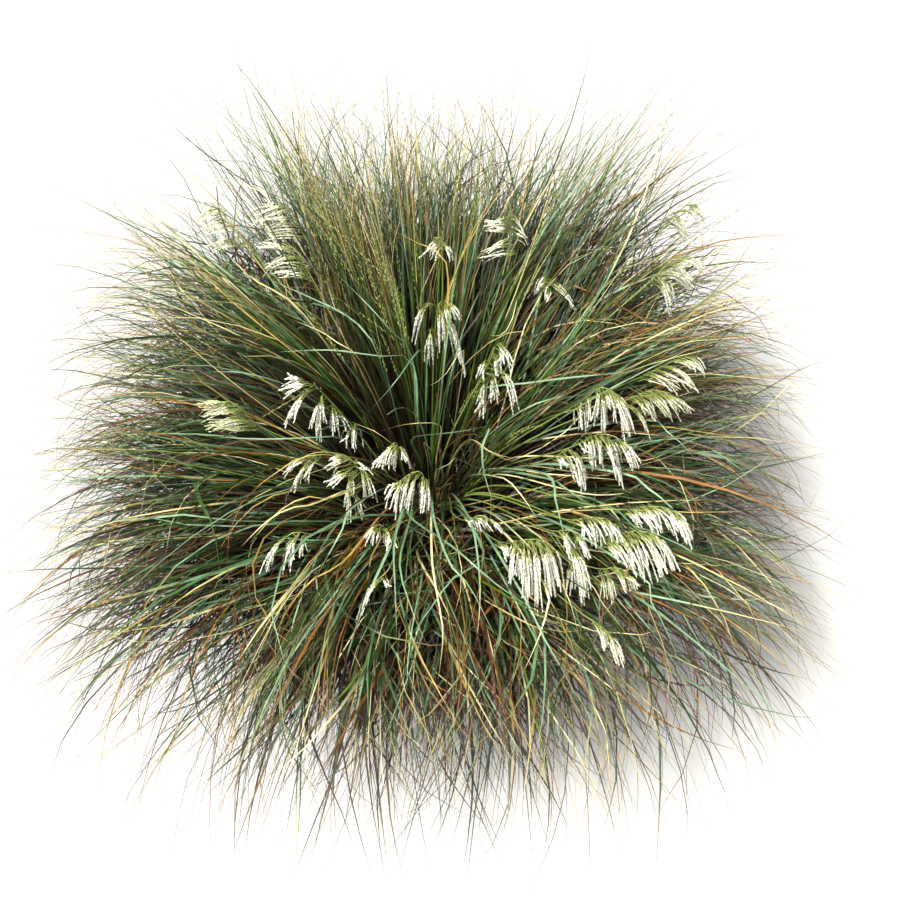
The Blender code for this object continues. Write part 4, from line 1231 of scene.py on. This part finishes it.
def bake_modifiers(piece):
    """Makes a piece's modified shape its own mesh, and removes the cutters."""
    bpy.context.view_layer.update()
    graph = bpy.context.evaluated_depsgraph_get()
    mesh = bpy.data.meshes.new_from_object(piece.evaluated_get(graph))
    cutters = [m.object for m in piece.modifiers if m.type == "BOOLEAN"]
    piece.modifiers.clear()
    piece.data = mesh
    for cutter in cutters:
        bpy.data.objects.remove(cutter)


def crumb_mesh(rng, places, sizes):
    """Small lumps with jittered corners."""
    work = bmesh.new()
    bmesh.ops.create_icosphere(work, subdivisions=1, radius=1.0)
    ball = np.array([v.co[:] for v in work.verts])
    faces = np.array([[v.index for v in f.verts] for f in work.faces])
    work.free()
    lumps = ball[None] * rng.uniform(0.7, 1.2, (len(places), len(ball), 1))
    lumps = lumps * rng.uniform(0.6, 1.1, (len(places), 1, 3)) * sizes[:, None, None]
    points = (places[:, None] + lumps).reshape(-1, 3)
    corners = (faces[None] + np.arange(len(places))[:, None, None] * len(ball)).reshape(-1, 3)
    mesh = bpy.data.meshes.new("soil_crumbs")
    mesh.from_pydata(points, [], corners)
    mesh.shade_smooth()
    return mesh


def make_crumbs(rng, finish):
    """Crumbs of soil that lie on the soil between the crown and the pot."""
    radius = np.sqrt(rng.uniform((CROWN_RADIUS * CRUMBS_BEGIN) ** 2, (INNER_TOP - CRUMBS_END) ** 2, CRUMBS))
    azimuth = rng.uniform(0, 360, CRUMBS)
    sizes = CRUMB_SIZE + CRUMB_MORE * rng.random(CRUMBS) ** 3
    slope = np.clip((radius - CROWN_RADIUS) / (INNER_TOP - CROWN_RADIUS), 0, 1)
    spots = heading(azimuth) * radius[:, None]
    spots[:, 2] = SOIL_TOP - SOIL_CROWNING * slope + CRUMB_OUT * sizes
    place("soil_crumbs", crumb_mesh(rng, spots, sizes), finish, "soil")


def make_thatch(rng, finish):
    """Dead stubs and curled old leaves packed over the crown."""
    count = THATCH_STRAWS
    start = rng.uniform(0, 360, count)
    angle = THATCH_ANGLE * np.sqrt(rng.random(count))
    way = start + rng.normal(0, THATCH_WAY, count)
    lean_end = angle + rng.uniform(*THATCH_LEANS, count)
    length = rng.uniform(*THATCH_LENGTHS, count)
    power = rng.uniform(*THATCH_POWERS, count)
    sweep = rng.normal(0, THATCH_SWEEP, count)
    points = clear_of_pot(leaf_courses(rng, start, way, angle, lean_end, length, power, sweep, np.zeros(count)))
    width = rng.uniform(*THATCH_WIDTHS, count)
    values = {
        "tone": rng.random(count),
        "shade": THATCH_SHADE * rng.random(count),
        "dryness": np.ones((count, LEAF_POINTS)),
        "fresh": np.zeros(count),
        # Little light, so the leaf material paints the thatch in deep shade
        "light": np.full(count, THATCH_LIGHT),
    }
    roll = rng.normal(0, THATCH_ROLL, count)
    twist = rng.normal(0, THATCH_TWIST, count)
    mesh = leaf_mesh("dead_thatch", points, way, width, roll, twist, values, taper=0.8, columns=12)
    place("dead_thatch", mesh, finish, "shoots")


# The studio


def make_camera():
    tilt = math.radians(VIEW_ELEVATION)
    data = bpy.data.cameras.new("camera")
    data.lens = LENS
    data.sensor_width = SENSOR
    data.clip_start = 0.01
    camera = linked("camera", data)
    back = Vector((0.0, -math.cos(tilt), math.sin(tilt)))
    camera.location = Vector(LOOK_AT) + back * VIEW_DISTANCE
    camera.rotation_euler = (-back).to_track_quat("-Z", "Y").to_euler()
    bpy.context.scene.camera = camera


def make_floor():
    mesh = bpy.data.meshes.new("studio_floor")
    size = FLOOR_SIZE / 2
    mesh.from_pydata([(-size, -size, 0), (size, -size, 0), (size, size, 0), (-size, size, 0)], [], [(0, 1, 2, 3)])
    floor = linked("studio_floor", mesh)
    nodes = Nodes("studio floor", 0.9)
    nodes.shader.inputs["Base Color"].default_value = (*FLOOR_COLOUR, 1.0)
    mesh.materials.append(nodes.material)


def make_studio():
    """A pale floor, the two lights and a weak even fill."""
    make_floor()
    for name, source, spread, strength in LIGHTS:
        data = bpy.data.lights.new(name, "SUN")
        data.energy = strength
        data.angle = math.radians(spread)
        data.color = SUN_COLOUR
        light = linked(name, data)
        light.location = source
        light.rotation_euler = Vector(source).to_track_quat("Z", "Y").to_euler()
    world = bpy.data.worlds.new("studio")
    world.use_nodes = True
    nodes = world.node_tree.nodes
    fill = nodes["Background"]
    fill.inputs["Color"].default_value = (*FILL_COLOUR, 1.0)
    fill.inputs["Strength"].default_value = FILL_STRENGTH
    backdrop = nodes.new("ShaderNodeBackground")
    backdrop.inputs["Color"].default_value = (*BACKDROP_COLOUR, 1.0)
    either = nodes.new("ShaderNodeMixShader")
    link = world.node_tree.links.new
    link(nodes.new("ShaderNodeLightPath").outputs["Is Camera Ray"], either.inputs["Fac"])
    link(fill.outputs["Background"], either.inputs[1])
    link(backdrop.outputs["Background"], either.inputs[2])
    link(either.outputs["Shader"], nodes["World Output"].inputs["Surface"])
    bpy.context.scene.world = world
    bpy.context.scene.view_settings.view_transform = "Standard"


def main():
    rng = np.random.default_rng(SEED)
    flower = head_material()
    heads = [make_head(rng, f"flower_stem_{number:02d}_head", head, flower) for number, head in enumerate(HEADS, 1)]
    singles = grow_singles()
    hidden = head_depths([*heads, finely(singles[0][:, SINGLE_POINTS // 3 :])])
    leaf = leaf_material()
    names, grown = ["single"], [singles]
    for ring, (tufts, first, angles, count, shares) in RINGS.items():
        for number in range(tufts):
            names.append(f"leaf_tuft_{ring}_{number + 1:02d}")
            azimuth = first + 360 * number / tufts
            grown.append(grow_tuft(rng, azimuth, 360 / tufts, angles, count, shares, hidden))
    lights = open_sky(grown)
    # The singles' lower parts get less light, so the leaf material paints them in shade where they pass into the tuft
    out = (np.linspace(0, 1, SINGLE_POINTS) - SINGLE_SHADED) / SINGLE_FADE
    lights[0] = lights[0] * np.clip(out, SINGLE_DARKEST, 1)
    for name, (points, looks, values), light in zip(names, grown, lights):
        mesh = leaf_mesh(name + "_leaves", points, **looks, values={**values, "light": light})
        place(name + "_leaves", mesh, leaf, "leaf", *([name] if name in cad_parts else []))
    shoots = thatch_material()
    soil = soil_material()
    make_pot(clay_material())
    make_crumbs(rng, soil)
    make_thatch(rng, leaf)
    make_young_heads(rng, grown[1:], flower)
    for node, finish in (("soil", soil), ("crown", shoots)):
        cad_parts[node].data.materials.clear()
        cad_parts[node].data.materials.append(finish)
    make_studio()
    make_camera()


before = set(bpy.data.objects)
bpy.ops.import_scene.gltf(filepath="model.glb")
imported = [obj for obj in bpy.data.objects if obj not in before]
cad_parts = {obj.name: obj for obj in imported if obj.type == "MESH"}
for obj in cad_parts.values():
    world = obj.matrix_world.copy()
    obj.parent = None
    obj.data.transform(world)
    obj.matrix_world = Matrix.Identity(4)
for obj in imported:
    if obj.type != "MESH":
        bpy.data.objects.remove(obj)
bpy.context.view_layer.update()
POT_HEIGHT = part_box("pot")[1].z
SOIL_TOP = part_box("soil")[1].z
DOME_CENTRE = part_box("crown")[0].z - CROWN_SUNK
main()
